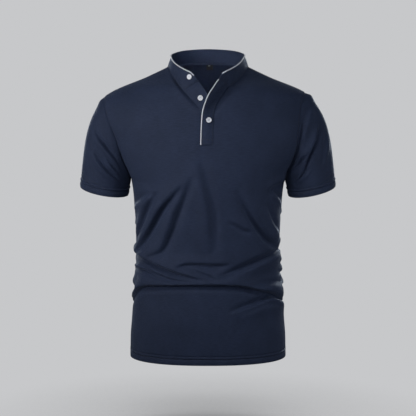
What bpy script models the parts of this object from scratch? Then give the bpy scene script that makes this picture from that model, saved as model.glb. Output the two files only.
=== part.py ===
"""Knitted polo shirt with a stand collar, short sleeves and a three-button placket, standing hollow as if worn.

Metres, +Z up. The origin is the middle of the neck opening, level with the high shoulder points. The chest faces
-Y and +X is the wearer's left. Each cut piece is one closed wall of cloth: its outer face follows a formula, and its
inner face lies one cloth thickness behind it.
"""

import functools
import math

import bmesh
import bpy
import numpy as np
from mathutils import Matrix, Vector

# Driving sizes
CLOTH = 0.0016              # thickness of a cloth wall
SEAM_GAP = 0.0003           # clearance between two pieces at a seam
HEM = -0.6375               # height of the bottom edge
UNDERARM = -0.243           # height where side seam, armhole and sleeve seam meet
HIGH_SHOULDER = 0.088       # half the distance between the high shoulder points
SHOULDER_TIP = {"right": -0.065, "left": -0.056}    # height of the armhole's top, wearer's right and left
ARMHOLE_DEPTH = {"front": 0.057, "back": 0.060}     # how far the armhole bows forward and back
BACK_NECK_RISE = 0.004      # back neckline above the high shoulder points
PIPING_RADIUS = 0.0014
PIPING_SIDES = 8
BUTTON_RADIUS = 0.00575
BUTTON_THICKNESS = 0.0026

# Wearer's right is -X, and the photographed front is -Y.
SIDE_SIGN = {"right": -1.0, "left": 1.0}
FACE_SIGN = {"front": -1.0, "back": 1.0}

# Half width at the side seams, from hem to underarm: height, half width
SIDE_SEAM = [
    (-0.640, 0.1725), (-0.590, 0.1715), (-0.560, 0.1690), (-0.510, 0.1655), (-0.475, 0.1635), (-0.445, 0.1605),
    (-0.410, 0.1585), (-0.375, 0.1580), (-0.340, 0.1590), (-0.305, 0.1615), (-0.275, 0.1635), (-0.243, 0.1680),
]
# Armhole seam seen from the front: height, distance from the middle
ARMHOLE = {
    "right": [(-0.243, 0.1680), (-0.228, 0.1725), (-0.197, 0.1850), (-0.178, 0.1910), (-0.153, 0.1985),
              (-0.130, 0.2080), (-0.100, 0.2195), (-0.080, 0.2240), (-0.065, 0.2260)],
    "left": [(-0.243, 0.1680), (-0.228, 0.1715), (-0.199, 0.1840), (-0.175, 0.1910), (-0.147, 0.1945),
             (-0.114, 0.1970), (-0.095, 0.1990), (-0.067, 0.2060), (-0.056, 0.2120)],
}
# Top line of the shoulder and the side of the neck: height, distance from the middle
SHOULDER_LINE = [
    (-0.0670, 0.2290), (-0.0650, 0.2260), (-0.0560, 0.2120), (-0.0507, 0.2020), (-0.0420, 0.1830), (-0.0333, 0.1611),
    (-0.0246, 0.1393), (-0.0159, 0.1205), (-0.0072, 0.1022), (0.0, 0.0880), (0.006, 0.0860), (0.040, 0.0800),
]
# Horizontal sections: height, depth to the front, depth to the back, roundness (2 is an ellipse)
SECTIONS = [
    (-0.640, 0.118, 0.110, 2.35), (-0.560, 0.119, 0.107, 2.35), (-0.480, 0.116, 0.101, 2.30),
    (-0.400, 0.115, 0.099, 2.30), (-0.320, 0.120, 0.107, 2.30), (-0.243, 0.1255, 0.1125, 2.30),
    (-0.180, 0.1205, 0.1150, 2.20), (-0.118, 0.1095, 0.1110, 2.00), (-0.080, 0.0985, 0.1020, 1.85),
    (-0.060, 0.0915, 0.0950, 1.75), (-0.040, 0.0800, 0.0860, 1.75), (-0.026, 0.0600, 0.0770, 1.75),
    (-0.014, 0.0430, 0.0690, 1.75), (0.000, 0.0150, 0.0610, 1.80), (0.006, 0.0100, 0.0580, 1.90),
    (0.040, 0.0100, 0.0540, 2.00),
]

# Rows of a torso panel between hem and underarm: lower height, upper height, number of steps
ROW_BANDS = [(HEM, -0.520, 6), (-0.520, -0.400, 12), (-0.400, UNDERARM, 8)]
SIDE_COLUMNS = 14           # columns from the front opening, or the back's neck, to the side
FRONT_MIDDLE_COLUMNS = 2    # columns below the placket, between its two sides
BACK_NECK_COLUMNS = 12
BACK_NECK_FOOT = 0.060      # half width of the back's middle columns at the underarm

# Front opening from underarm level up the placket's side, then along the neckline: x without sign, height.
# The first row is at the underarm, PLACKET_FOOT_ROW is the foot of the opening and NECK_CORNER_ROW the neckline's end.
PLACKET_FOOT_ROW = 4
NECK_CORNER_ROW = 10
OPENING = {
    "right": [(0.0150, -0.2430), (0.0150, -0.2200), (0.0150, -0.1980), (0.0150, -0.1760), (0.0150, -0.1550),
              (0.0150, -0.1340), (0.0150, -0.1120), (0.0165, -0.0890), (0.0255, -0.0700), (0.0380, -0.0520),
              (0.0510, -0.0350), (0.0605, -0.0305), (0.0705, -0.0235), (0.0805, -0.0130), (0.0880, 0.0)],
    "left": [(0.0120, -0.2430), (0.0120, -0.2200), (0.0120, -0.1980), (0.0120, -0.1760), (0.0120, -0.1550),
             (0.0120, -0.1340), (0.0122, -0.1120), (0.0145, -0.0900), (0.0215, -0.0710), (0.0325, -0.0535),
             (0.0450, -0.0370), (0.0560, -0.0300), (0.0690, -0.0205), (0.0800, -0.0115), (0.0880, 0.0)],
}
UPPER_STEPS = len(OPENING["right"]) - 1
# Free edges of the two placket strips, a row for each opening row from PLACKET_FOOT_ROW:
# x, height, how far the edge stands forward of the chest's surface
UNDER_PLACKET_EDGE = [
    (0.0090, -0.1550, 0.0), (0.0090, -0.1345, 0.0), (0.0090, -0.1110, 0.0), (0.0085, -0.0830, 0.002),
    (0.0025, -0.0610, 0.007), (-0.0080, -0.0430, 0.014), (-0.0200, -0.0270, 0.022),
]
OVER_PLACKET_EDGE = [
    (-0.0143, -0.1550, 0.0), (-0.0135, -0.1320, 0.0), (-0.0124, -0.1080, 0.001), (-0.0098, -0.0855, 0.004),
    (-0.0050, -0.0650, 0.011), (0.0030, -0.0480, 0.018), (0.0205, -0.0270, 0.026),
]
OVER_PLACKET_FOOT = -0.1600     # lower end of the overlapping strip, below the foot of the opening
PLACKET_COLUMNS = 3

# Top edge of the collar: share of the length from its front end to the centre back, x without sign, y, height.
# The last row lies past the centre back, on the other side, so that the edge stays round there.
COLLAR_TOP = {
    "right": [(0.0, 0.0300, -0.0850, -0.0130), (0.065, 0.0385, -0.0770, -0.0060), (0.127, 0.0475, -0.0680, -0.0025),
              (0.218, 0.0600, -0.0530, 0.0035), (0.325, 0.0710, -0.0340, 0.0110), (0.408, 0.0767, -0.0180, 0.0175),
              (0.500, 0.0785, -0.0010, 0.0245), (0.633, 0.0715, 0.0240, 0.0290), (0.766, 0.0500, 0.0410, 0.0320),
              (1.0, 0.0, 0.0520, 0.0340), (1.234, -0.0500, 0.0410, 0.0320)],
    "left": [(0.0, 0.0300, -0.0880, -0.0090), (0.065, 0.0385, -0.0790, -0.0045), (0.127, 0.0475, -0.0690, -0.0005),
             (0.218, 0.0605, -0.0530, 0.0065), (0.325, 0.0700, -0.0340, 0.0140), (0.408, 0.0750, -0.0180, 0.0205),
             (0.500, 0.0780, -0.0010, 0.0255), (0.633, 0.0715, 0.0240, 0.0295), (0.766, 0.0500, 0.0410, 0.0320),
             (1.0, 0.0, 0.0520, 0.0340), (1.234, -0.0500, 0.0410, 0.0320)],
}
COLLAR_ROWS = 3

# Sleeve hem: centre, half width across (outwards and upwards), half width to the front
CUFF = {
    "right": {"centre": (-0.2275, 0.0, -0.2705), "across": (-0.0527, 0.0, 0.0095), "forward": (0.0, -0.0530, -0.0065)},
    "left": {"centre": (0.2280, 0.0, -0.2705), "across": (0.0518, 0.0, 0.0110), "forward": (0.0, -0.0530, -0.0065)},
}
SLEEVE_ROWS = 9
SLEEVE_AXIS_LEAN = 0.105    # outward lean of the sleeve at its hem

# The girth coordinate runs round the body from the centre front, positive to the wearer's left: mean radius
GIRTH_RADIUS = 0.145
SIDE_GIRTH = GIRTH_RADIUS * math.pi / 2.0
# Largest folds of the body: name, trough depth, trough half width, ridge height, side of the ridge (1 is the left
# hand when looking from the first point to the last), and the fold's route as (girth, height)
BODY_FOLDS = [
    ("waist roll", 0.0060, 0.0095, 0.0060, 1,
     [(-0.250, -0.512), (-0.200, -0.487), (-0.152, -0.464), (-0.091, -0.461), (0.011, -0.462), (0.079, -0.467),
      (0.149, -0.482), (0.200, -0.498), (0.250, -0.507)]),
    ("left diagonal", 0.0042, 0.0100, 0.0034, -1,
     [(-0.235, -0.402), (-0.147, -0.405), (-0.079, -0.428), (-0.014, -0.450)]),
    ("right diagonal", 0.0055, 0.0100, 0.0042, 1,
     [(0.235, -0.392), (0.159, -0.396), (0.108, -0.411), (0.056, -0.432), (0.015, -0.448)]),
    ("low right diagonal", 0.0045, 0.0100, 0.0036, 1,
     [(0.240, -0.502), (0.185, -0.487), (0.144, -0.484), (0.091, -0.500), (0.040, -0.518)]),
    ("right middle", 0.0030, 0.0100, 0.0020, 1,
     [(0.240, -0.466), (0.171, -0.456), (0.119, -0.457), (0.085, -0.460)]),
    ("left side pull", 0.0030, 0.0100, 0.0026, 1, [(-0.235, -0.440), (-0.194, -0.431), (-0.127, -0.437), (-0.100, -0.444)]),
    ("right armpit drape", 0.0040, 0.0180, 0.0030, 1,
     [(-0.045, -0.250), (-0.079, -0.282), (-0.107, -0.320), (-0.147, -0.363), (-0.185, -0.392)]),
    ("right inner drape", 0.0035, 0.0150, 0.0020, 1,
     [(-0.035, -0.262), (-0.061, -0.313), (-0.079, -0.358), (-0.119, -0.398)]),
    ("centre drape", 0.0030, 0.0200, 0.0020, 1, [(-0.015, -0.190), (0.006, -0.279), (0.011, -0.330), (0.015, -0.385)]),
    ("left armpit drape", 0.0045, 0.0200, 0.0030, 1,
     [(0.052, -0.262), (0.084, -0.311), (0.114, -0.349), (0.181, -0.383)]),
    # the back's folds, which the photograph hides
    ("back waist roll", 0.0055, 0.0110, 0.0050, 1,
     [(0.225, -0.494), (0.300, -0.470), (0.380, -0.458), (0.4555, -0.462), (0.530, -0.455), (0.610, -0.476),
      (0.686, -0.500)]),
    ("back left diagonal", 0.0045, 0.0110, 0.0034, -1, [(0.225, -0.398), (0.300, -0.412), (0.370, -0.432), (0.430, -0.438)]),
    ("back right diagonal", 0.0040, 0.0110, 0.0034, 1, [(0.686, -0.405), (0.620, -0.415), (0.550, -0.434), (0.490, -0.442)]),
    ("back left drape", 0.0040, 0.0190, 0.0030, 1, [(0.290, -0.250), (0.315, -0.310), (0.350, -0.370), (0.370, -0.410)]),
    ("back right drape", 0.0040, 0.0190, 0.0030, -1, [(0.620, -0.245), (0.600, -0.315), (0.560, -0.375), (0.535, -0.405)]),
    ("back spine drape", 0.0030, 0.0240, 0.0020, 1, [(0.450, -0.170), (0.457, -0.260), (0.452, -0.350), (0.458, -0.420)]),
]
# Folds of a sleeve: name, trough depth, half width, ridge height, side of the ridge, and the route as
# (turn from the top towards the front in degrees, share of the length from armhole to hem)
SLEEVE_FOLDS = {
    "right": [
        ("upper pull", 0.0026, 0.011, 0.0016, 1, [(62.0, 0.34), (88.0, 0.52), (118.0, 0.62)]),
        ("lower pull", 0.0026, 0.011, 0.0016, 1, [(70.0, 0.58), (98.0, 0.74), (130.0, 0.80)]),
        ("back pull", 0.0028, 0.012, 0.0018, -1, [(-60.0, 0.38), (-92.0, 0.56), (-122.0, 0.68)]),
    ],
    "left": [
        ("long pull", 0.0038, 0.011, 0.0026, -1, [(44.0, 0.30), (60.0, 0.46), (84.0, 0.62), (112.0, 0.76)]),
        ("short pull", 0.0028, 0.010, 0.0020, -1, [(92.0, 0.34), (112.0, 0.48), (132.0, 0.58)]),
        ("back pull", 0.0028, 0.012, 0.0018, 1, [(-58.0, 0.34), (-88.0, 0.52), (-120.0, 0.66)]),
    ],
}
FOLD_SAMPLES = 40
SLEEVE_RADIUS = 0.056       # turns degrees round a sleeve into metres of cloth
SLEEVE_LENGTH = 0.200       # turns a share of the sleeve's length into metres of cloth

# Buttons: x and height of the place where each lies on its strip
BUTTONS = {"button_collar": (-0.0389, -0.0185), "button_middle": (-0.0155, -0.0638), "button_lower": (0.0004, -0.1098)}
THREAD_HOLE_RADIUS = 0.0007
THREAD_HOLE_SPREAD = 0.0015
# Label in the back neck: left, right, top, bottom
LABEL = (-0.0055, 0.0140, 0.0005, -0.0135)
LABEL_THICKNESS = 0.0006

COLOURS = {
    "navy_knit": ((0.020, 0.028, 0.055), 0.85),
    "pale_piping": ((0.70, 0.71, 0.75), 0.70),
    "white_plastic": ((0.80, 0.82, 0.86), 0.30),
    "label_black": ((0.010, 0.011, 0.013), 0.75),
}


def clear_scene():
    for item in list(bpy.data.objects):
        bpy.data.objects.remove(item, do_unlink=True)


@functools.cache
def tangents_of(keys, values):
    """Slopes at a table's rows that keep the curve between them from overshooting."""
    steps = np.diff(keys)
    slopes = np.diff(values) / steps
    tangents = np.concatenate(([slopes[0]], np.zeros(len(keys) - 2), [slopes[-1]]))
    for i in range(1, len(keys) - 1):
        before, after = slopes[i - 1], slopes[i]
        if before * after > 0.0:
            weight_1, weight_2 = 2.0 * steps[i] + steps[i - 1], steps[i] + 2.0 * steps[i - 1]
            tangents[i] = (weight_1 + weight_2) / (weight_1 / before + weight_2 / after)
    return tangents


def smooth(rows, column, at):
    """Read a table between its rows; the first column is the key and rises from row to row."""
    keys = tuple(row[0] for row in rows)
    values = tuple(row[column] for row in rows)
    tangents = tangents_of(keys, values)
    keys, values = np.array(keys), np.array(values)
    steps = np.diff(keys)
    at = np.clip(np.asarray(at, dtype=float), keys[0], keys[-1])
    cell = np.clip(np.searchsorted(keys, at, side="right") - 1, 0, len(steps) - 1)
    t = (at - keys[cell]) / steps[cell]
    return ((2 * t ** 3 - 3 * t ** 2 + 1) * values[cell] + (t ** 3 - 2 * t ** 2 + t) * steps[cell] * tangents[cell]
            + (3 * t ** 2 - 2 * t ** 3) * values[cell + 1] + (t ** 3 - t ** 2) * steps[cell] * tangents[cell + 1])


@functools.cache
def curve_through(points, samples):
    """A smooth curve through a few hand-placed points."""
    points = np.array(points, dtype=float)
    padded = np.vstack([2 * points[0] - points[1], points, 2 * points[-1] - points[-2]])
    result = []
    for place in np.linspace(0.0, len(points) - 1.0, samples):
        cell = min(int(place), len(points) - 2)
        t = place - cell
        a, b, c, d = padded[cell:cell + 4]
        result.append(0.5 * (2 * b + (c - a) * t + (2 * a - 5 * b + 4 * c - d) * t ** 2 + (3 * b - a - 3 * c + d) * t ** 3))
    return np.array(result)


def armhole_bow(height, side, face):
    """How far the armhole seam lies from the shoulder line, forward or back, as half an oval."""
    middle = (UNDERARM + SHOULDER_TIP[side]) / 2.0
    half = (SHOULDER_TIP[side] - UNDERARM) / 2.0
    return ARMHOLE_DEPTH[face] * math.sqrt(max(0.0, 1.0 - ((height - middle) / half) ** 2))


@functools.cache
def section(height, side, face):
    """Half width, depth and roundness of the section that the body's surface follows at a height."""
    depth = float(smooth(SECTIONS, 1 if face == "front" else 2, height))
    roundness = float(smooth(SECTIONS, 3, height))
    if height <= UNDERARM:
        width = float(smooth(SIDE_SEAM, 1, height))
    elif height >= SHOULDER_TIP[side]:
        width = float(smooth(SHOULDER_LINE, 1, height))
    else:
        share = armhole_bow(height, side, face) / depth
        width = float(smooth(ARMHOLE[side], 1, height)) / (1.0 - share ** roundness) ** (1.0 / roundness)
    return width, depth, roundness


def base_depth(x, height, side, face):
    """Distance of the body's surface from the plane through the two shoulder lines."""
    width, depth, roundness = section(height, side, face)
    return depth * max(0.0, 1.0 - min(1.0, abs(x) / width) ** roundness) ** (1.0 / roundness)


def base_normal(point, side, face):
    """Outward direction of the body's surface, from the rise of its section formula."""
    x, y, height = point

    def reach(px, py, pz):
        width, depth, roundness = section(pz, side, face)
        return (abs(px) / width) ** roundness + (abs(py) / depth) ** roundness

    step = 0.0008
    rise = Vector((reach(x + step, y, height) - reach(x - step, y, height),
                   reach(x, y + step, height) - reach(x, y - step, height),
                   reach(x, y, height + step) - reach(x, y, height - step)))
    return rise.normalized()


def fold_field(folds, across, along):
    """Height of all folds at one place of the flat cloth: troughs are negative, the ridges beside them positive."""
    place = np.array([across, along])
    total = 0.0
    for _, depth, half_width, ridge, ridge_side, route in folds:
        line = curve_through(tuple(route), FOLD_SAMPLES)
        offsets = place - line
        distances = np.hypot(offsets[:, 0], offsets[:, 1])
        nearest = int(np.argmin(distances))
        if distances[nearest] > 5.0 * half_width:
            continue
        ahead = line[min(nearest + 1, FOLD_SAMPLES - 1)] - line[max(nearest - 1, 0)]
        turn = ahead[0] * offsets[nearest, 1] - ahead[1] * offsets[nearest, 0]
        distance = math.copysign(distances[nearest], turn) * ridge_side
        taper = math.sin(math.pi * (nearest + 0.5) / FOLD_SAMPLES) ** 0.7
        trough = math.exp(-(distance / half_width) ** 2)
        crest = math.exp(-((distance - 1.9 * half_width) / (1.3 * half_width)) ** 2)
        total += taper * (ridge * crest - depth * trough)
    return total


def girth_at(x, height, side, face):
    """The girth coordinate of a point of the body."""
    width = section(height, side, face)[0]
    turn = math.asin(min(1.0, abs(x) / width)) * GIRTH_RADIUS * SIDE_SIGN[side]
    if face == "front":
        return turn
    return (math.copysign(2.0 * SIDE_GIRTH, turn) - turn) % (4.0 * SIDE_GIRTH)


def body_point(x, height, side, face, on_seam=False):
    """Outer point of the body's cloth and the direction its wall is thick in. x has its sign.

    The shoulder and side seams lie in the plane y = 0, half a seam gap to each side of it.
    """
    depth = SEAM_GAP / 2.0 if on_seam else base_depth(x, height, side, face)
    base = Vector((x, FACE_SIGN[face] * depth, height))
    outward = base_normal(base, side, face)
    girth = girth_at(x, height, side, face)
    lift = fold_field(BODY_FOLDS, girth, height)
    if face == "back":
        lift += fold_field(BODY_FOLDS, girth - 4.0 * SIDE_GIRTH, height)
    else:
        lift += fold_field(BODY_FOLDS, girth % (4.0 * SIDE_GIRTH), height) if girth < 0.0 else 0.0
    fade = min(1.0, max(0.0, (UNDERARM + 0.09 - height) / 0.06)) if height > UNDERARM else 1.0
    return base + outward * lift * fade, outward


def body_rows():
    heights = [HEM]
    for low, high, count in ROW_BANDS:
        heights += [low + (high - low) * (i + 1) / count for i in range(count)]
    return heights


def armhole_heights(side):
    """Heights of the armhole's vertices from underarm to shoulder tip, even round the oval."""
    middle = (UNDERARM + SHOULDER_TIP[side]) / 2.0
    half = (SHOULDER_TIP[side] - UNDERARM) / 2.0
    return [middle - half * math.cos(math.pi * i / UPPER_STEPS) for i in range(UPPER_STEPS + 1)]


def row_share(inner, width, roundness, step):
    """x of one column of a lower row: even turns of the section's angle from the inner edge to the side seam."""
    start = math.asin((inner / width) ** (roundness / 2.0))
    return width * math.sin(start + (math.pi / 2.0 - start) * step / SIDE_COLUMNS) ** (2.0 / roundness)


def patch_flat(side, face):
    """Columns 0 to SIDE_COLUMNS of one half of a panel, as rows of (x without sign, height) from hem to shoulder."""
    inner = OPENING[side] if face == "front" else [
        (BACK_NECK_FOOT + (HIGH_SHOULDER - BACK_NECK_FOOT) * i / UPPER_STEPS, UNDERARM * (1.0 - i / UPPER_STEPS))
        for i in range(UPPER_STEPS + 1)]
    rows = []
    for height in body_rows():
        width, _, roundness = section(height, side, face)
        rows.append([(row_share(inner[0][0], width, roundness, c), height) for c in range(SIDE_COLUMNS + 1)])
    foot = np.array(rows[-1])
    outer = np.array([(float(smooth(ARMHOLE[side], 1, z)), z) for z in armhole_heights(side)])
    tip_x = outer[-1][0]
    shoulder_x = np.linspace(HIGH_SHOULDER, tip_x, SIDE_COLUMNS + 1)
    line = sorted((x, z) for z, x in SHOULDER_LINE if z <= 0.0)
    shoulder_z = smooth(line, 1, shoulder_x)
    shoulder_z[0], shoulder_z[-1] = 0.0, outer[-1][1]
    top = np.column_stack([shoulder_x, shoulder_z])
    inner = np.array(inner)
    for i in range(1, UPPER_STEPS + 1):
        t = i / UPPER_STEPS
        row = []
        for c in range(SIDE_COLUMNS + 1):
            s = c / SIDE_COLUMNS
            corners = ((1 - s) * (1 - t) * foot[0] + s * (1 - t) * foot[-1] + (1 - s) * t * top[0] + s * t * top[-1])
            place = (1 - s) * inner[i] + s * outer[i] + (1 - t) * foot[c] + t * top[c] - corners
            row.append((float(place[0]), float(place[1])))
        rows.append(row)
    return rows


def closed_wall(name, outer, inner, quads, colour):
    """A closed wall from matching outer and inner points: two skins, and a strip round every open edge."""
    count = len(outer)
    faces = [tuple(quad) for quad in quads] + [tuple(count + i for i in reversed(quad)) for quad in quads]
    edges = {}
    for quad in quads:
        for a, b in zip(quad, quad[1:] + quad[:1]):
            edges[(a, b)] = edges.get((a, b), 0) + 1
    for a, b in edges:
        if (b, a) not in edges:
            faces.append((b, a, count + a, count + b))
    mesh = bpy.data.meshes.new(name)
    mesh.from_pydata([tuple(p) for p in outer] + [tuple(p) for p in inner], [], faces)
    return finish_object(name, mesh, colour)


def finish_object(name, mesh, colour):
    work = bmesh.new()
    work.from_mesh(mesh)
    loose = [vertex for vertex in work.verts if not vertex.link_faces]
    bmesh.ops.delete(work, geom=loose, context="VERTS")
    bmesh.ops.recalc_face_normals(work, faces=work.faces)
    work.to_mesh(mesh)
    work.free()
    mesh.materials.append(bpy.data.materials[colour])
    mesh.shade_smooth()
    mesh.set_sharp_from_angle(angle=math.radians(50.0))
    piece = bpy.data.objects.new(name, mesh)
    bpy.context.scene.collection.objects.link(piece)
    return piece


def make_materials():
    for name, (colour, roughness) in COLOURS.items():
        material = bpy.data.materials.new(name)
        material.use_nodes = True
        shader = material.node_tree.nodes["Principled BSDF"]
        shader.inputs["Base Color"].default_value = (*colour, 1.0)
        shader.inputs["Roughness"].default_value = roughness
        shader.inputs["Metallic"].default_value = 0.0


def grid_quads(columns, rows, keep=lambda c, r: True):
    """Quads of a grid stored row by row, with columns + 1 points in each row."""
    width = columns + 1
    return [(r * width + c, r * width + c + 1, (r + 1) * width + c + 1, (r + 1) * width + c)
            for r in range(rows) for c in range(columns) if keep(c, r)]


def half_panel(side, face):
    """Outer points and wall directions of one half of a panel, in rows from hem to shoulder."""
    flat = patch_flat(side, face)
    lower_rows = len(body_rows())
    grid = []
    for r, row in enumerate(flat):
        line = []
        for c, (x, z) in enumerate(row):
            on_seam = r == len(flat) - 1 or (c == SIDE_COLUMNS and r < lower_rows)
            line.append(body_point(SIDE_SIGN[side] * x, z, side, face, on_seam))
        grid.append(line)
    return grid


def make_front():
    """The front: two halves joined below the placket, with a slot between them that opens into the neckline."""
    right, left = half_panel("right", "front"), half_panel("left", "front")
    lower_rows = len(body_rows())
    foot_row = lower_rows - 1 + PLACKET_FOOT_ROW
    outer, inner = [], []
    for r, (right_row, left_row) in enumerate(zip(right, left)):
        middle = []
        for c in range(1, FRONT_MIDDLE_COLUMNS):
            share = c / FRONT_MIDDLE_COLUMNS
            x = right_row[0][0].x * (1 - share) + left_row[0][0].x * share
            height = right_row[0][0].z * (1 - share) + left_row[0][0].z * share
            middle.append(body_point(x, height, "left" if x > 0.0 else "right", "front"))
        for point, outward in right_row[::-1] + middle + left_row:
            outer.append(point)
            inner.append(point - outward * CLOTH)
    columns = 2 * SIDE_COLUMNS + FRONT_MIDDLE_COLUMNS
    slot = range(SIDE_COLUMNS, SIDE_COLUMNS + FRONT_MIDDLE_COLUMNS)
    quads = grid_quads(columns, len(right) - 1, lambda c, r: not (c in slot and r >= foot_row))
    closed_wall("front_panel", outer, inner, quads, "navy_knit")
    return right, left


def make_back():
    """The back: two halves joined by the columns that end in the back neckline."""
    right, left = half_panel("right", "back"), half_panel("left", "back")
    lower_rows = len(body_rows())
    outer, inner, neck = [], [], []
    for r, (right_row, left_row) in enumerate(zip(right, left)):
        middle = []
        for c in range(1, BACK_NECK_COLUMNS):
            across = 2.0 * c / BACK_NECK_COLUMNS - 1.0
            start, end = patch_edge(r, lower_rows)
            upward = max(0.0, (r - lower_rows + 1) / UPPER_STEPS) ** 2
            across += (math.sin(math.pi / 2.0 * across) - across) * upward
            x = start * across
            rise = upward * BACK_NECK_RISE * (1.0 - across ** 2)
            middle.append(body_point(x, end + rise, "left" if x > 0.0 else "right", "back"))
        row = right_row[::-1] + middle + left_row
        if r == len(right) - 1:
            neck = row[SIDE_COLUMNS:SIDE_COLUMNS + BACK_NECK_COLUMNS + 1]
        for point, outward in row:
            outer.append(point)
            inner.append(point - outward * CLOTH)
    quads = grid_quads(2 * SIDE_COLUMNS + BACK_NECK_COLUMNS, len(right) - 1)
    closed_wall("back_panel", outer, inner, quads, "navy_knit")
    return right, left, neck


def patch_edge(row, lower_rows):
    """Half width and height of the back's neck columns at a row."""
    if row < lower_rows:
        height = body_rows()[row]
        width, _, roundness = section(height, "right", "back")
        return row_share(BACK_NECK_FOOT, width, roundness, 0), height
    share = (row - lower_rows + 1) / UPPER_STEPS
    return BACK_NECK_FOOT + (HIGH_SHOULDER - BACK_NECK_FOOT) * share, UNDERARM * (1.0 - share)


def tube_directions(rings):
    """Outward directions of a tube's points, from its neighbours round and along it."""
    count = len(rings[0])
    result = []
    for r, ring in enumerate(rings):
        ahead, behind = rings[min(r + 1, len(rings) - 1)], rings[max(r - 1, 0)]
        result.append([((ring[(i + 1) % count] - ring[i - 1]).cross(ahead[i] - behind[i])).normalized()
                       for i in range(count)])
    return result


def make_sleeve(side, front_half, back_half):
    """A sleeve drawn from the armhole's own points to the oval of its hem."""
    first = len(body_rows()) - 1
    sign = SIDE_SIGN[side]
    front_edge = [row[-1] for row in front_half[first:]]
    back_edge = [row[-1] for row in back_half[first:]]
    loop = front_edge + back_edge[-2:0:-1]
    turns = [180.0 - 180.0 * i / UPPER_STEPS for i in range(2 * UPPER_STEPS)]
    cuff = {key: Vector(value) for key, value in CUFF[side].items()}
    down = Vector((sign * SLEEVE_AXIS_LEAN, 0.0, -1.0)).normalized()
    rings = [[] for _ in range(SLEEVE_ROWS + 1)]
    for (edge, _), turn in zip(loop, turns):
        start = Vector((edge.x, 0.0 if abs(edge.y) < 2.0 * SEAM_GAP else edge.y, edge.z))
        angle = math.radians(turn)
        end = cuff["centre"] + cuff["across"] * math.cos(angle) + cuff["forward"] * math.sin(angle)
        over = max(0.0, math.cos(angle))
        beside = abs(math.sin(angle))
        leave = Vector((sign * (0.10 + 0.68 * over + 0.34 * beside), 0.12 * -math.sin(angle), -1.0 + 0.42 * over))
        span = (end - start).length
        near = start + leave.normalized() * span * 0.34
        far = end - down * span * (0.36 + 0.10 * over)
        for r, ring in enumerate(rings):
            t = r / SLEEVE_ROWS
            ring.append((1 - t) ** 3 * start + 3 * (1 - t) ** 2 * t * near + 3 * (1 - t) * t ** 2 * far + t ** 3 * end)
    directions = tube_directions(rings)
    centre = sum((p for p in rings[-1]), Vector()) / len(rings[-1])
    flip = 1.0 if (rings[-1][UPPER_STEPS] - centre).dot(directions[-1][UPPER_STEPS]) > 0.0 else -1.0
    folds = [(*fold[:5], tuple((math.radians(turn) * SLEEVE_RADIUS, share * SLEEVE_LENGTH) for turn, share in fold[5]))
             for fold in SLEEVE_FOLDS[side]]
    outer, inner = [], []
    for r, ring in enumerate(rings):
        for i, point in enumerate(ring):
            outward = directions[r][i] * flip
            lift = fold_field(folds, math.radians(turns[i]) * SLEEVE_RADIUS, r / SLEEVE_ROWS * SLEEVE_LENGTH)
            if r == 0:
                seam_direction = loop[i][1]
                agree = min(1.0, max(0.0, outward.dot(seam_direction) / 0.6))
                along = (rings[1][i] - point).normalized()
                point = point + along * SEAM_GAP + seam_direction * SEAM_GAP * (1.0 - agree)
                outward = (seam_direction * agree + outward * (1.0 - agree)).normalized()
                lift = 0.0
            point = point + outward * lift
            outer.append(point)
            inner.append(point - outward * CLOTH)
    count = len(loop)
    quads = [(r * count + i, r * count + (i + 1) % count, (r + 1) * count + (i + 1) % count, (r + 1) * count + i)
             for r in range(SLEEVE_ROWS) for i in range(count)]
    closed_wall("sleeve_" + side, outer, inner, quads, "navy_knit")


def free_edge(table):
    """Points of a placket's free edge, out from the chest by its own table."""
    points = []
    for x, height, forward in table:
        side = "left" if x > 0.0 else "right"
        point, outward = body_point(x, height, side, "front")
        points.append((point + Vector((0.0, -forward, 0.0)), outward))
    return points


def strip_grid(seam_edge, free_points, bulge, columns):
    """Rows of a strip of cloth from its seam to its free edge; bulge rounds it outwards at the middle."""
    rows = []
    for (seam, seam_out), (free, free_out) in zip(seam_edge, free_points):
        row = []
        for c in range(columns + 1):
            share = c / columns
            outward = (seam_out * (1 - share) + free_out * share).normalized()
            row.append(seam.lerp(free, share) + outward * bulge * 4.0 * share * (1.0 - share))
        rows.append(row)
    return rows


def sheet_directions(rows, towards):
    """Outward directions of an open sheet's points, turned to agree with the direction towards."""
    result = []
    for r, row in enumerate(rows):
        ahead, behind = rows[min(r + 1, len(rows) - 1)], rows[max(r - 1, 0)]
        line = []
        for c in range(len(row)):
            across = row[min(c + 1, len(row) - 1)] - row[max(c - 1, 0)]
            outward = across.cross(ahead[c] - behind[c]).normalized()
            line.append(outward if outward.dot(towards(row[c])) > 0.0 else -outward)
        result.append(line)
    return result


def make_sheet(name, rows, towards, colour, thickness=CLOTH):
    directions = sheet_directions(rows, towards)
    outer = [point for row in rows for point in row]
    inner = [point - outward * thickness for row, line in zip(rows, directions) for point, outward in zip(row, line)]
    closed_wall(name, outer, inner, grid_quads(len(rows[0]) - 1, len(rows) - 1), colour)
    return directions


def forward_side(_point):
    return Vector((0.0, -1.0, 0.0))


def away_from_neck(point):
    return Vector((point.x, point.y, 0.0))


def under_placket_rows(right_half):
    """The button side: it fills the slot and opens out with the neckline."""
    first = len(body_rows()) - 1 + PLACKET_FOOT_ROW
    last = len(body_rows()) - 1 + NECK_CORNER_ROW
    seam_edge = [(row[0][0] + Vector((SEAM_GAP, 0.0, 0.0)), row[0][1]) for row in right_half[first:last + 1]]
    rows = strip_grid(seam_edge, free_edge(UNDER_PLACKET_EDGE), 0.0012, PLACKET_COLUMNS)
    rows[0] = [p + Vector((0.0, 0.0, SEAM_GAP)) for p in rows[0]]
    return rows


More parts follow.
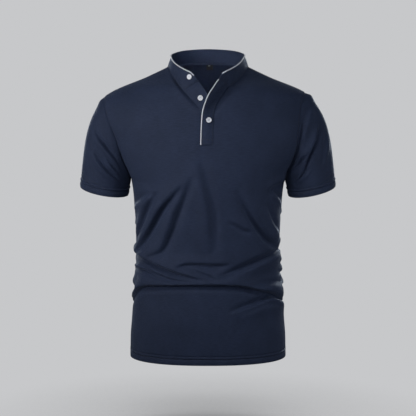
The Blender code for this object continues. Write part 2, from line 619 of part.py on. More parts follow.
def over_placket_rows(left_half):
    """The buttonhole side: it lies over the slot, one cloth thickness in front of the chest."""
    first = len(body_rows()) - 1 + PLACKET_FOOT_ROW
    last = len(body_rows()) - 1 + NECK_CORNER_ROW
    proud = CLOTH + 2.0 * SEAM_GAP
    seam_edge = [(row[0][0] + row[0][1] * proud, row[0][1]) for row in left_half[first:last + 1]]
    free_points = [(p + n * proud, n) for p, n in free_edge(OVER_PLACKET_EDGE)]
    rows = strip_grid(seam_edge, free_points, 0.0010, PLACKET_COLUMNS)
    foot = []
    for point in rows[0]:
        side = "left" if point.x > 0.0 else "right"
        base, outward = body_point(point.x, OVER_PLACKET_FOOT, side, "front")
        foot.append(base + outward * (proud + 0.0002))
    rows.insert(0, foot)
    return rows


def collar_grid(right_half, left_half, back_neck, under_rows, over_rows):
    """Rows of the collar band from the neck seam to its top edge, from the wearer's right end round to the left."""
    corner = len(body_rows()) - 1 + NECK_CORNER_ROW
    foot = [point for point in reversed(under_rows[-1])]
    foot += [row[0][0] for row in right_half[corner + 1:]]
    foot += [point for point, _ in back_neck[1:-1]]
    foot += [row[0][0] for row in reversed(left_half[corner + 1:])]
    foot += [point for point in over_rows[-1]]
    lengths = np.concatenate(([0.0], np.cumsum([(b - a).length for a, b in zip(foot, foot[1:])])))
    middle = len(under_rows[-1]) - 1 + (UPPER_STEPS - NECK_CORNER_ROW) + BACK_NECK_COLUMNS // 2
    top = []
    for i, length in enumerate(lengths):
        if i <= middle:
            side, share = "right", length / lengths[middle]
        else:
            side, share = "left", (lengths[-1] - length) / (lengths[-1] - lengths[middle])
        table = COLLAR_TOP[side]
        top.append(Vector((SIDE_SIGN[side] * float(smooth(table, 1, share)), float(smooth(table, 2, share)),
                           float(smooth(table, 3, share)))))
    rows = []
    for r in range(COLLAR_ROWS + 1):
        share = r / COLLAR_ROWS
        row = []
        for low, high in zip(foot, top):
            rise = (high - low).normalized()
            row.append((low + rise * SEAM_GAP * 1.5).lerp(high, share))
        rows.append(row)
    return rows


def make_cord(name, path, radius, sides, colour):
    """A round cord along a path, with closed ends."""
    rings = []
    side_way = None
    for i, point in enumerate(path):
        ahead = (path[min(i + 1, len(path) - 1)] - path[max(i - 1, 0)]).normalized()
        reference = Vector((0.0, 0.0, 1.0)) if side_way is None else side_way
        across = (reference - ahead * reference.dot(ahead)).normalized()
        side_way = across
        other = ahead.cross(across)
        rings.append([point + (across * math.cos(math.tau * k / sides) + other * math.sin(math.tau * k / sides)) * radius
                      for k in range(sides)])
    points = [p for ring in rings for p in ring]
    faces = [(r * sides + k, r * sides + (k + 1) % sides, (r + 1) * sides + (k + 1) % sides, (r + 1) * sides + k)
             for r in range(len(rings) - 1) for k in range(sides)]
    faces += [tuple(range(sides)), tuple(reversed(range((len(rings) - 1) * sides, len(rings) * sides)))]
    mesh = bpy.data.meshes.new(name)
    mesh.from_pydata([tuple(p) for p in points], [], faces)
    finish_object(name, mesh, colour)


def make_button(name, centre, facing, upright):
    """A turned button: a dished face inside a rounded rim, with four thread holes through it."""
    profile = [(0.0, 0.55), (0.60, 0.55), (0.70, 0.72), (0.84, 1.0), (0.96, 0.86), (1.0, 0.52), (0.90, 0.10), (0.72, 0.0),
               (0.0, 0.0)]
    sides = 20
    mesh = bpy.data.meshes.new(name)
    points, faces = [], []
    ring_starts = []
    for share_r, share_h in profile:
        ring_starts.append(len(points))
        ring = 1 if share_r == 0.0 else sides
        points += [(share_r * BUTTON_RADIUS * math.cos(math.tau * k / sides) if ring > 1 else 0.0,
                    share_r * BUTTON_RADIUS * math.sin(math.tau * k / sides) if ring > 1 else 0.0,
                    share_h * BUTTON_THICKNESS) for k in range(ring)]
    for i in range(len(profile) - 1):
        a, b = ring_starts[i], ring_starts[i + 1]
        for k in range(sides):
            j = (k + 1) % sides
            if profile[i][0] == 0.0:
                faces.append((a, b + k, b + j))
            elif profile[i + 1][0] == 0.0:
                faces.append((a + k, b, a + j))
            else:
                faces.append((a + k, b + k, b + j, a + j))
    mesh.from_pydata(points, [], faces)
    button = finish_object(name, mesh, "white_plastic")
    cutters = []
    for k in range(4):
        angle = math.radians(45.0 + 90.0 * k)
        place = (THREAD_HOLE_SPREAD * math.cos(angle), THREAD_HOLE_SPREAD * math.sin(angle), 0.0)
        bpy.ops.mesh.primitive_cylinder_add(vertices=8, radius=THREAD_HOLE_RADIUS, depth=4.0 * BUTTON_THICKNESS,
                                            location=place)
        cutter = bpy.context.object
        cutters.append(cutter)
        cut = button.modifiers.new("thread hole", "BOOLEAN")
        cut.operation = "DIFFERENCE"
        cut.object = cutter
    bpy.context.view_layer.update()
    solid = bpy.data.meshes.new_from_object(button.evaluated_get(bpy.context.evaluated_depsgraph_get()))
    button.modifiers.clear()
    button.data = solid
    for cutter in cutters:
        bpy.data.objects.remove(cutter, do_unlink=True)
    across = (upright - facing * upright.dot(facing)).normalized()
    turn = Matrix((across.cross(facing), across, facing)).transposed().to_4x4()
    solid.transform(Matrix.Translation(centre) @ turn)
    solid.update()


def nearest_on_rows(rows, directions, x, height):
    """Point and direction of a sheet where a line along Y at x and height meets it."""
    best = None
    for row_low, row_high, line_low, line_high in zip(rows, rows[1:], directions, directions[1:]):
        for c in range(len(row_low) - 1):
            for u in np.linspace(0.0, 1.0, 9):
                for v in np.linspace(0.0, 1.0, 9):
                    point = (row_low[c].lerp(row_low[c + 1], u)).lerp(row_high[c].lerp(row_high[c + 1], u), v)
                    miss = math.hypot(point.x - x, point.z - height)
                    if best is None or miss < best[0]:
                        outward = (line_low[c].lerp(line_low[c + 1], u)).lerp(line_high[c].lerp(line_high[c + 1], u), v)
                        best = (miss, point, outward.normalized())
    return best[1], best[2]


def make_label():
    """A small label hanging from the neck seam against the inside of the back."""
    left, right, top, bottom = LABEL
    rows = []
    for r in range(3):
        height = top + (bottom - top) * r / 2.0
        row = []
        for c in range(4):
            x = left + (right - left) * c / 3.0
            point, outward = body_point(x, height, "left" if x > 0.0 else "right", "back")
            row.append(point - outward * (CLOTH + 2.0 * SEAM_GAP))
        rows.append(row)
    make_sheet("neck_label", rows, forward_side, "label_black", -LABEL_THICKNESS)


def make_collar_piping(collar_rows, directions):
    """The piping lies against the outside of the band, just under its top edge."""
    path = []
    for low, high, outward in zip(collar_rows[-2], collar_rows[-1], directions[-1]):
        rise = (high - low).normalized()
        path.append(high + outward * (PIPING_RADIUS + 1.5 * SEAM_GAP) - rise * PIPING_RADIUS * 0.6)
    make_cord("collar_piping", path, PIPING_RADIUS, PIPING_SIDES, "pale_piping")


def make_placket_piping(over_rows, directions):
    """The piping runs along the free edge of the overlapping strip."""
    path = []
    for row, line in zip(over_rows, directions):
        away = (row[-1] - row[-2]).normalized()
        path.append(row[-1] + away * (PIPING_RADIUS + 1.5 * SEAM_GAP) - line[-1] * CLOTH * 0.15)
    make_cord("placket_piping", path, PIPING_RADIUS, PIPING_SIDES, "pale_piping")


def main():
    clear_scene()
    make_materials()
    right_front, left_front = make_front()
    right_back, left_back, back_neck = make_back()
    make_sleeve("right", right_front, right_back)
    make_sleeve("left", left_front, left_back)
    under_rows = under_placket_rows(right_front)
    over_rows = over_placket_rows(left_front)
    collar_rows = collar_grid(right_front, left_front, back_neck, under_rows, over_rows)
    under_out = sheet_directions(under_rows, forward_side)
    over_out = make_sheet("placket_over", over_rows, forward_side, "navy_knit")
    make_sheet("placket_under", under_rows, forward_side, "navy_knit")
    collar_out = make_sheet("collar_band", collar_rows, away_from_neck, "navy_knit")
    make_collar_piping(collar_rows, collar_out)
    make_placket_piping(over_rows, over_out)
    strips = {"button_collar": (collar_rows, collar_out), "button_middle": (under_rows, under_out),
              "button_lower": (over_rows, over_out)}
    for name, (x, height) in BUTTONS.items():
        point, facing = nearest_on_rows(*strips[name], x, height)
        make_button(name, point + facing * 2.0 * SEAM_GAP, facing, Vector((0.0, 0.0, 1.0)))
    make_label()


main()
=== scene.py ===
"""Looks of a dark knitted polo shirt with a stand collar, hollow as if worn, above a pale studio floor.

Metres, +Z up. The chest faces -Y and +X is the wearer's left. Every cloth piece is a thin shell laid on the
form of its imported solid, worked out from the same sizes, with finer folds, hems, seams and sewing added.
"""

import math

import bmesh
import bpy
import numpy as np
from mathutils import Matrix, Vector


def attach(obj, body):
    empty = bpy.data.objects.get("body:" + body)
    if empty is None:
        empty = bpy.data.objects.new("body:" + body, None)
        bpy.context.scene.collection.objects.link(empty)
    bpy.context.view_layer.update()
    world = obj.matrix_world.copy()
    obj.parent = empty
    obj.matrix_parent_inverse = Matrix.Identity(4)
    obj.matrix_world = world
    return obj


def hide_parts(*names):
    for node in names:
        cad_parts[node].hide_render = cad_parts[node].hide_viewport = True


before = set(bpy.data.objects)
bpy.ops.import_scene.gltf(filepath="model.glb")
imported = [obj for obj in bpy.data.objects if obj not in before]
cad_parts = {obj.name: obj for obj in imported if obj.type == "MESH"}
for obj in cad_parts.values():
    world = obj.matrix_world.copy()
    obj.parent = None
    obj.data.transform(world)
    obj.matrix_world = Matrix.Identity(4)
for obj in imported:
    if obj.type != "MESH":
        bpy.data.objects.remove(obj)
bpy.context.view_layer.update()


# ------------------------------------------------------------------------------
# The studio: an endless pale floor that glows as bright as the air above it, with a soft painted shadow
# under the shirt, worked out from how near the shirt is and not cast by the lamps. Five soft lights stand
# before the shirt and two strips behind it, and a thin beam falls into the neck. The camera looks slightly
# down from just above the collar.
FLOOR_HEIGHT = -0.80
FLOOR_SIZE = 60.0
SHADE_REACH = 0.46          # how far from the shirt the painted shadow on the floor reaches
SHADE_STRENGTH = 2.0
SHADE_SAMPLES = 24
UNSEEN_SHARE = 0.18         # brightness of floor and air as lights, against how they look
STUDIO_GREY = (0.571, 0.577, 0.590, 1.0)
VIEW_TARGET = Vector((0.0, 0.0, -0.310))
VIEW_ELEVATION = math.radians(7.5)
VIEW_DISTANCE = 3.5
PIXEL = 0.0022              # what one pixel of the frame spans at the target
FRAME_PIXELS = 416.0
SENSOR = 36.0
LIGHTS = [
    # name, place, aimed at, width, height, spread in degrees, power, colour
    ("key", (-1.85, -1.15, 0.30), (0.0, 0.0, -0.10), 0.5, 0.5, 50.0, 1.50, (1.0, 0.985, 0.96)),
    ("low_key", (-1.45, -1.62, 0.12), (0.0, 0.0, -0.22), 0.5, 0.5, 34.0, 0.36, (1.0, 0.985, 0.96)),
    ("high", (-0.35, -1.45, 1.25), (0.0, -0.10, -0.33), 0.25, 0.25, 26.0, 0.23, (1.0, 0.985, 0.96)),
    ("front", (0.0, -2.30, 0.35), (0.0, 0.0, -0.12), 0.6, 0.6, 50.0, 0.36, (0.96, 0.98, 1.0)),
    ("fill", (1.75, -0.90, -0.20), (0.05, 0.0, -0.38), 0.8, 0.8, 50.0, 0.80, (0.90, 0.95, 1.0)),
    ("strip_right", (-0.95, 1.75, -0.05), (-0.27, 0.0, -0.12), 0.5, 0.8, 40.0, 0.55, (0.78, 0.88, 1.0)),
    ("strip_left", (0.95, 1.75, -0.05), (0.27, 0.0, -0.12), 0.5, 0.8, 40.0, 1.00, (0.78, 0.88, 1.0)),
    ("neck", (0.0, -2.40, 0.99), (0.0, 0.055, 0.005), 0.03, 0.03, 3.6, 0.016, (0.95, 0.97, 1.0)),
]


def feed(tree, socket, value):
    """Link the output of another node to a socket, or set the socket to a number or a colour."""
    if isinstance(value, bpy.types.NodeSocket):
        tree.links.new(value, socket)
    else:
        socket.default_value = value


def add_node(tree, kind, **sockets):
    """A new node, its sockets fed by their names, in which a low line stands for a space."""
    node = tree.nodes.new(kind)
    for name, value in sockets.items():
        feed(tree, node.inputs[name.replace("_", " ")], value)
    return node


def reckon(tree, operation, *values):
    """The result of a sum on numbers and on the outputs of other nodes."""
    node = tree.nodes.new("ShaderNodeMath")
    node.operation = operation
    for socket, value in zip(node.inputs, values):
        feed(tree, socket, value)
    return node.outputs[0]


def brightness(tree):
    """1 where the camera sees the floor or the air, and less where they only light the shirt."""
    seen = add_node(tree, "ShaderNodeLightPath")
    share = add_node(tree, "ShaderNodeMapRange", Value=seen.outputs["Is Camera Ray"], To_Min=UNSEEN_SHARE)
    return share.outputs["Result"]


bpy.ops.object.select_all(action="DESELECT")
bpy.ops.mesh.primitive_plane_add(size=FLOOR_SIZE, location=(0.0, 0.0, FLOOR_HEIGHT))
floor = bpy.context.object
floor.name = "studio_floor"
bpy.ops.object.transform_apply(location=True, rotation=False, scale=True)
paper = bpy.data.materials.new("studio_paper")
paper.use_nodes = True
paper.node_tree.nodes.clear()
# Painted shadow: an ambient occlusion node darkens the floor's glow near the shirt; the lamps cast none on it.
painted_floor_shadow = add_node(paper.node_tree, "ShaderNodeAmbientOcclusion", Distance=SHADE_REACH)
painted_floor_shadow.samples = SHADE_SAMPLES
paper_depth = reckon(paper.node_tree, "POWER", painted_floor_shadow.outputs["AO"], SHADE_STRENGTH)
paper_strength = reckon(paper.node_tree, "MULTIPLY", brightness(paper.node_tree), paper_depth)
paper_glow = add_node(paper.node_tree, "ShaderNodeEmission", Color=STUDIO_GREY, Strength=paper_strength)
add_node(paper.node_tree, "ShaderNodeOutputMaterial", Surface=paper_glow.outputs[0])
floor.data.materials.append(paper)

for name, place, aim, width, height, spread_angle, power, colour in LIGHTS:
    light = bpy.data.lights.new(name, "AREA")
    light.shape = "RECTANGLE"
    light.size, light.size_y = width, height
    light.spread = math.radians(spread_angle)
    light.energy = power
    light.color = colour
    lamp = bpy.data.objects.new(name, light)
    lamp.location = place
    lamp.rotation_euler = (Vector(aim) - Vector(place)).to_track_quat("-Z", "Y").to_euler()
    bpy.context.scene.collection.objects.link(lamp)

studio_air = bpy.data.worlds.new("studio_air")
studio_air.use_nodes = True
air_glow = studio_air.node_tree.nodes["Background"]
air_glow.inputs["Color"].default_value = STUDIO_GREY
feed(studio_air.node_tree, air_glow.inputs["Strength"], brightness(studio_air.node_tree))
bpy.context.scene.world = studio_air
bpy.context.scene.view_settings.view_transform = "Standard"

camera = bpy.data.objects.new("camera", bpy.data.cameras.new("camera"))
camera.data.sensor_width = SENSOR
camera.data.lens = SENSOR * VIEW_DISTANCE / (PIXEL * FRAME_PIXELS)
camera_way = Vector((0.0, -math.cos(VIEW_ELEVATION), math.sin(VIEW_ELEVATION)))
camera.location = VIEW_TARGET + VIEW_DISTANCE * camera_way
camera.rotation_euler = (VIEW_TARGET - camera.location).to_track_quat("-Z", "Y").to_euler()
bpy.context.scene.collection.objects.link(camera)
bpy.context.scene.camera = camera


# ------------------------------------------------------------------------------
# Front panel: knitted cotton, cut in one piece with a slot for the placket. Its side, shoulder and armhole
# edges are turned in and sewn to the back and the sleeves, and its hem is turned up inside and sewn with a
# twin needle.
CLOTH = 0.0009              # thickness of the knit
SMOOTH_ANGLE = math.radians(60.0)
MERGE_DISTANCE = 0.00002    # edges of a closed seam that are this near become one
SEAM_GAP = 0.0003           # between two cloths that meet at a seam
SEAM_DIP = 0.0010           # how far the cloth is drawn in at a seam
SEAM_DIP_WIDTH = 0.0022
UNDERARM = -0.243
HIGH_SHOULDER = 0.088
SHOULDER_TIP = {"right": -0.065, "left": -0.056}
ARMHOLE_DEPTH = {"front": 0.057, "back": 0.060}
SIDE_SIGN = {"right": -1.0, "left": 1.0}
FACE_SIGN = {"front": -1.0, "back": 1.0}
GIRTH_RADIUS = 0.145        # the girth runs round the body from the centre front to the wearer's left
SIDE_GIRTH = GIRTH_RADIUS * math.pi / 2.0
FULL_GIRTH = 4.0 * SIDE_GIRTH

HEM = -0.6375
HEM_TURN = 0.0200           # height of the turned-up hem
HEM_NEEDLES = (0.0190, 0.0136)  # heights of the two rows of stitches above the edge
NEEDLE_DIP = 0.0013         # depth of the groove along a row of stitches
NEEDLE_DIP_WIDTH = 0.0013
# The hem swells below and between its rows of stitches: height above the edge, half height, lift
HEM_SWELLS = ((0.0065, 0.0055, 0.0012), (0.0163, 0.0024, 0.0017))
HEM_SHAPED = 0.030          # height up to which the hem shapes the cloth
HEM_FADE = 0.035            # towards the side seams the hem's shape dies out over this width
HEM_FADE_POWER = 1.5
# Rows inside the hem, from its raw edge down and round the fold: height above the edge, depth behind the face
HEM_TURN_ROWS = (
    (HEM_TURN, 0.0030), (0.0150, 0.0026), (0.0080, 0.0023), (0.0014, 0.0022), (0.0004, 0.0018), (0.0, 0.0011),
    (0.0003, 0.0004),
)
HEM_ROWS = len(HEM_TURN_ROWS)
HEM_ROLL = 0.002            # the rows inside that are lower than this roll round the fold
HEM_ROLL_CLOTH = 0.0005     # cloth from the last of them to the edge

# Seam allowances: depth behind the edge and reach across the seam, for each row or column. The front's is
# pressed back over the back's trimmed one between two heights at the side, and on the shoulder near the neck
LAID_BACK = ((0.0012, 0.0), (0.0024, 0.0004), (0.0027, 0.0055))
TRIMMED = ((0.0008, 0.0), (0.0014, 0.0), (0.0020, 0.0))
PRESSED_FROM = HEM + 0.0225
PRESSED_TO = UNDERARM - 0.004
PRESSED_SHOULDER = 0.200    # distance from the middle
PRESS_FADE = 0.010          # along the seam, near the armhole
PRESS_FADE_AT_HEM = 0.003

# Half width at the side seams: height, half width
SIDE_SEAM = [
    (-0.640, 0.1725), (-0.590, 0.1715), (-0.560, 0.1690), (-0.510, 0.1655), (-0.475, 0.1635),
    (-0.445, 0.1605), (-0.410, 0.1585), (-0.375, 0.1580), (-0.340, 0.1590), (-0.305, 0.1615),
    (-0.275, 0.1635), (-0.243, 0.1680),
]
# Armhole seam seen from the front: height, distance from the middle
ARMHOLE = {
    "right": [(-0.243, 0.1680), (-0.228, 0.1725), (-0.197, 0.1850), (-0.178, 0.1910), (-0.153, 0.1985),
              (-0.130, 0.2080), (-0.100, 0.2195), (-0.080, 0.2240), (-0.065, 0.2260)],
    "left": [(-0.243, 0.1680), (-0.228, 0.1715), (-0.199, 0.1840), (-0.175, 0.1910), (-0.147, 0.1945),
             (-0.114, 0.1970), (-0.095, 0.1990), (-0.067, 0.2060), (-0.056, 0.2120)],
}
# Top line of the shoulder and the side of the neck: height, distance from the middle
SHOULDER_LINE = [
    (-0.0670, 0.2290), (-0.0650, 0.2260), (-0.0560, 0.2120), (-0.0507, 0.2020), (-0.0420, 0.1830),
    (-0.0333, 0.1611), (-0.0246, 0.1393), (-0.0159, 0.1205), (-0.0072, 0.1022), (0.0, 0.0880),
    (0.006, 0.0860), (0.040, 0.0800),
]
# Horizontal sections: height, depth to the front, depth to the back, roundness (2 is an ellipse)
SECTIONS = [
    (-0.640, 0.118, 0.110, 2.35), (-0.560, 0.119, 0.107, 2.35), (-0.480, 0.116, 0.101, 2.30),
    (-0.400, 0.115, 0.099, 2.30), (-0.320, 0.120, 0.107, 2.30), (-0.243, 0.1255, 0.1125, 2.30),
    (-0.180, 0.1205, 0.1150, 2.20), (-0.118, 0.1095, 0.1110, 2.00), (-0.080, 0.0985, 0.1020, 1.85),
    (-0.060, 0.0915, 0.0950, 1.75), (-0.040, 0.0800, 0.0860, 1.75), (-0.026, 0.0600, 0.0770, 1.75),
    (-0.014, 0.0430, 0.0690, 1.75), (0.000, 0.0150, 0.0610, 1.80), (0.006, 0.0100, 0.0580, 1.90),
    (0.040, 0.0100, 0.0540, 2.00),
]
# Front opening from underarm level up the placket's side, then along the neckline: x without sign, height.
# The places are counted in its points: the last one, the placket's foot and the neck's corner
OPENING = {
    "right": [(0.0150, -0.2430), (0.0150, -0.2200), (0.0150, -0.1980), (0.0150, -0.1760), (0.0150, -0.1550),
              (0.0150, -0.1340), (0.0150, -0.1120), (0.0165, -0.0890), (0.0268, -0.0735), (0.0400, -0.0600),
              (0.0530, -0.0450), (0.0622, -0.0355), (0.0712, -0.0245), (0.0808, -0.0130), (0.0880, 0.0)],
    "left": [(0.0120, -0.2430), (0.0120, -0.2200), (0.0120, -0.1980), (0.0120, -0.1760), (0.0120, -0.1550),
             (0.0120, -0.1340), (0.0122, -0.1120), (0.0145, -0.0900), (0.0215, -0.0710), (0.0325, -0.0535),
             (0.0450, -0.0370), (0.0560, -0.0300), (0.0690, -0.0205), (0.0800, -0.0115), (0.0880, 0.0)],
}
OPENING_STEPS = 14
PLACKET_FOOT_STEP = 4
NECK_CORNER_STEP = 10

# Folds of the body, named by the wearer's left and right: name, trough depth, trough half width, ridge height,
# side of the ridge (1 is the left hand along the route), steepness of the side between them (1 is soft, 0.3
# nearly overhangs), and the route as (girth, height)
BODY_FOLDS = [
    ("waist roll", 0.0105, 0.0085, 0.0095, 1, 0.24,
     [(-0.250, -0.528), (-0.200, -0.499), (-0.152, -0.475), (-0.091, -0.467), (-0.020, -0.463),
      (0.055, -0.465), (0.105, -0.478), (0.149, -0.488), (0.200, -0.505), (0.250, -0.524)]),
    ("right diagonal", 0.0116, 0.0096, 0.0080, 1, 0.40,
     [(-0.244, -0.406), (-0.196, -0.411), (-0.150, -0.415), (-0.107, -0.426), (-0.055, -0.441),
      (-0.008, -0.453)]),
    ("right lower line", 0.0060, 0.0062, 0.0034, 1, 0.50,
     [(-0.160, -0.428), (-0.117, -0.440), (-0.075, -0.451), (-0.030, -0.456)]),
    ("left diagonal", 0.0120, 0.0085, 0.0086, 1, 0.38,
     [(0.238, -0.400), (0.163, -0.404), (0.108, -0.415), (0.056, -0.433), (0.020, -0.447)]),
    ("low left diagonal", 0.0092, 0.0082, 0.0070, 1, 0.40,
     [(0.240, -0.518), (0.190, -0.504), (0.144, -0.494), (0.091, -0.505), (0.040, -0.521)]),
    ("left middle", 0.0048, 0.0070, 0.0040, 1, 0.60,
     [(0.238, -0.471), (0.172, -0.466), (0.118, -0.463), (0.088, -0.463)]),
    ("right side pull", 0.0060, 0.0060, 0.0042, 1, 0.48,
     [(-0.240, -0.444), (-0.209, -0.438), (-0.158, -0.438), (-0.128, -0.444), (-0.096, -0.454)]),
    ("centre hammock", 0.0064, 0.0074, 0.0042, 1, 0.55,
     [(-0.066, -0.427), (-0.037, -0.419), (0.011, -0.421), (0.044, -0.420)]),
    ("short slant", 0.0034, 0.0055, 0.0028, 1, 0.60, [(-0.040, -0.424), (-0.010, -0.438), (0.020, -0.451)]),
    ("under the low diagonal", 0.0030, 0.0080, 0.0024, 1, 0.80,
     [(0.190, -0.519), (0.136, -0.508), (0.104, -0.511), (0.062, -0.528)]),
    ("right armpit drape", 0.0088, 0.0085, 0.0068, -1, 0.55,
     [(-0.046, -0.246), (-0.068, -0.272), (-0.095, -0.302), (-0.129, -0.348), (-0.166, -0.384),
      (-0.196, -0.404)]),
    ("right inner drape", 0.0082, 0.0088, 0.0060, -1, 0.65,
     [(-0.026, -0.226), (-0.046, -0.276), (-0.061, -0.312), (-0.079, -0.359), (-0.100, -0.394),
      (-0.142, -0.410)]),
    ("right outer drape", 0.0052, 0.0080, 0.0050, -1, 0.60,
     [(-0.104, -0.262), (-0.130, -0.296), (-0.164, -0.338), (-0.205, -0.376)]),
    ("centre drape", 0.0066, 0.0100, 0.0070, -1, 0.75,
     [(-0.012, -0.175), (0.002, -0.262), (0.011, -0.314), (0.012, -0.345), (0.017, -0.390)]),
    ("left armpit drape", 0.0094, 0.0110, 0.0072, 1, 0.55,
     [(0.052, -0.256), (0.076, -0.299), (0.093, -0.324), (0.115, -0.352), (0.141, -0.373),
      (0.200, -0.395)]),
    ("left armpit crest", 0.0, 0.0050, 0.0034, -1, 0.80,
     [(0.052, -0.260), (0.076, -0.302), (0.093, -0.328), (0.115, -0.356), (0.141, -0.378),
      (0.206, -0.400)]),
    ("left side ridge", 0.0044, 0.0080, 0.0046, -1, 0.70,
     [(0.128, -0.290), (0.149, -0.318), (0.174, -0.341), (0.206, -0.358)]),
    ("left dimple", 0.0044, 0.0055, 0.0032, 1, 0.70,
     [(0.036, -0.325), (0.058, -0.336), (0.071, -0.345), (0.092, -0.350)]),
    ("right underarm pull", 0.0050, 0.0080, 0.0044, -1, 0.75,
     [(-0.210, -0.296), (-0.189, -0.289), (-0.144, -0.273), (-0.112, -0.264)]),
    ("left underarm pull", 0.0042, 0.0070, 0.0032, -1, 0.80,
     [(0.210, -0.258), (0.192, -0.253), (0.149, -0.257), (0.128, -0.268)]),
    ("left underarm slant", 0.0036, 0.0060, 0.0028, -1, 0.80,
     [(0.148, -0.262), (0.159, -0.268), (0.192, -0.284), (0.210, -0.296)]),
    # short gathers at the side seams
    ("right side gather 1", 0.0022, 0.0060, 0.0030, -1, 0.80,
     [(-0.262, -0.388), (-0.228, -0.384), (-0.194, -0.392)]),
    ("right side gather 2", 0.0036, 0.0060, 0.0020, -1, 0.80,
     [(-0.262, -0.432), (-0.228, -0.431), (-0.180, -0.427)]),
    ("right side gather 3", 0.0066, 0.0085, 0.0030, 1, 1.00,
     [(-0.282, -0.492), (-0.228, -0.487), (-0.184, -0.476)]),
    ("right side gather 4", 0.0020, 0.0040, 0.0016, 1, 0.80,
     [(-0.250, -0.352), (-0.228, -0.350), (-0.204, -0.342)]),
    ("left side gather 1", 0.0032, 0.0055, 0.0024, 1, 0.80,
     [(0.262, -0.410), (0.228, -0.413), (0.196, -0.408)]),
    ("left side gather 2", 0.0034, 0.0048, 0.0034, -1, 0.70,
     [(0.262, -0.450), (0.228, -0.453), (0.186, -0.446)]),
    ("left side gather 3", 0.0032, 0.0048, 0.0030, -1, 0.70,
     [(0.262, -0.480), (0.228, -0.480), (0.192, -0.474)]),
    ("left side gather 4", 0.0024, 0.0050, 0.0024, 1, 0.80,
     [(0.262, -0.366), (0.228, -0.371), (0.200, -0.366)]),
    ("left side gather 5", 0.0020, 0.0040, 0.0018, 1, 0.80,
     [(0.250, -0.430), (0.228, -0.432), (0.204, -0.428)]),
    ("left side gather 6", 0.0020, 0.0040, 0.0018, -1, 0.80,
     [(0.250, -0.322), (0.228, -0.325), (0.206, -0.318)]),
    # the back, which the photograph hides: the same kinds of fold
    ("back waist roll", 0.0080, 0.0095, 0.0080, 1, 0.32,
     [(0.225, -0.500), (0.300, -0.474), (0.380, -0.460), (0.4555, -0.464), (0.530, -0.457), (0.610, -0.478),
      (0.686, -0.508)]),
    ("back left diagonal", 0.0072, 0.0090, 0.0056, -1, 0.50,
     [(0.225, -0.398), (0.300, -0.412), (0.370, -0.432), (0.430, -0.438)]),
    ("back right diagonal", 0.0064, 0.0090, 0.0054, 1, 0.50,
     [(0.686, -0.405), (0.620, -0.415), (0.550, -0.434), (0.490, -0.442)]),
    ("back low diagonal", 0.0054, 0.0085, 0.0046, -1, 0.55,
     [(0.690, -0.506), (0.640, -0.494), (0.585, -0.500), (0.530, -0.516)]),
    ("back hammock", 0.0036, 0.0070, 0.0030, 1, 0.70,
     [(0.405, -0.425), (0.445, -0.419), (0.490, -0.424), (0.524, -0.419)]),
    ("back left drape", 0.0074, 0.0110, 0.0056, 1, 0.70,
     [(0.290, -0.250), (0.315, -0.310), (0.350, -0.370), (0.374, -0.412)]),
    ("back right drape", 0.0070, 0.0105, 0.0052, -1, 0.70,
     [(0.620, -0.245), (0.600, -0.315), (0.560, -0.375), (0.530, -0.408)]),
    ("back left inner drape", 0.0050, 0.0110, 0.0036, 1, 0.75,
     [(0.352, -0.262), (0.378, -0.320), (0.404, -0.378)]),
    ("back spine drape", 0.0052, 0.0160, 0.0036, 1, 0.90,
     [(0.450, -0.190), (0.459, -0.270), (0.452, -0.345), (0.458, -0.410)]),
    ("back left pull", 0.0040, 0.0080, 0.0032, 1, 0.80,
     [(0.250, -0.286), (0.290, -0.273), (0.335, -0.262)]),
    ("back right pull", 0.0040, 0.0080, 0.0032, -1, 0.80,
     [(0.662, -0.290), (0.622, -0.272), (0.582, -0.262)]),
]
FOLD_STEPS = 140            # places along a fold's route
FOLD_REACH = 5.0            # how far a fold is felt, in half widths of its trough
CREST_PLACE = 1.9           # distance of the ridge from the trough, and its own width, in the same measure
CREST_WIDTH = 1.3
TAPER_POWER = 0.7           # below 1, a fold comes sooner to its full depth
FOLDS_END = 0.09            # height above the underarm where the body's folds have died out
FOLDS_FADE = 0.06
SLOPE_STEP = 0.0008         # the slope of the form is taken over this step to either side
DEEPEST_ARMHOLE = 0.99      # share of a section's depth that the armhole may take


def ramp(distance, reach):
    """0 below a distance of 0, 1 past the reach, and straight between them."""
    return np.clip(distance / reach, 0.0, 1.0)


def between(rows, column, at):
    """Read a table between its rows without overshoot. Its first column is the key, which rises."""
    keys = np.array([row[0] for row in rows])
    values = np.array([row[column] for row in rows])
    steps = np.diff(keys)
    slopes = np.diff(values) / steps
    tangents = np.concatenate(([slopes[0]], np.zeros(len(keys) - 2), [slopes[-1]]))
    for i in range(1, len(keys) - 1):
        before, after = slopes[i - 1], slopes[i]
        if before * after > 0.0:
            weight_before = 2.0 * steps[i] + steps[i - 1]
            weight_after = steps[i] + 2.0 * steps[i - 1]
            tangents[i] = (weight_before + weight_after) / (weight_before / before + weight_after / after)
    at = np.clip(np.asarray(at, dtype=float), keys[0], keys[-1])
    cell = np.clip(np.searchsorted(keys, at, side="right") - 1, 0, len(steps) - 1)
    t = (at - keys[cell]) / steps[cell]
    return ((2 * t ** 3 - 3 * t ** 2 + 1) * values[cell]
            + (t ** 3 - 2 * t ** 2 + t) * steps[cell] * tangents[cell]
            + (3 * t ** 2 - 2 * t ** 3) * values[cell + 1]
            + (t ** 3 - t ** 2) * steps[cell] * tangents[cell + 1])


def along_curve(points, places):
    """Points of a smooth curve through given ones, at places counted in those points."""
    points = np.array(points, dtype=float)
    padded = np.vstack([2 * points[0] - points[1], points, 2 * points[-1] - points[-2]])
    places = np.clip(np.asarray(places, dtype=float), 0.0, len(points) - 1.0)
    cell = np.minimum(places.astype(int), len(points) - 2)
    t = (places - cell)[..., None]
    a, b, c, d = (padded[cell + i] for i in range(4))
    return 0.5 * (2 * b + (c - a) * t + (2 * a - 5 * b + 4 * c - d) * t ** 2
                  + (3 * b - a - 3 * c + d) * t ** 3)


def armhole_span(side):
    """Middle height and half height of an armhole."""
    return (UNDERARM + SHOULDER_TIP[side]) / 2.0, (SHOULDER_TIP[side] - UNDERARM) / 2.0


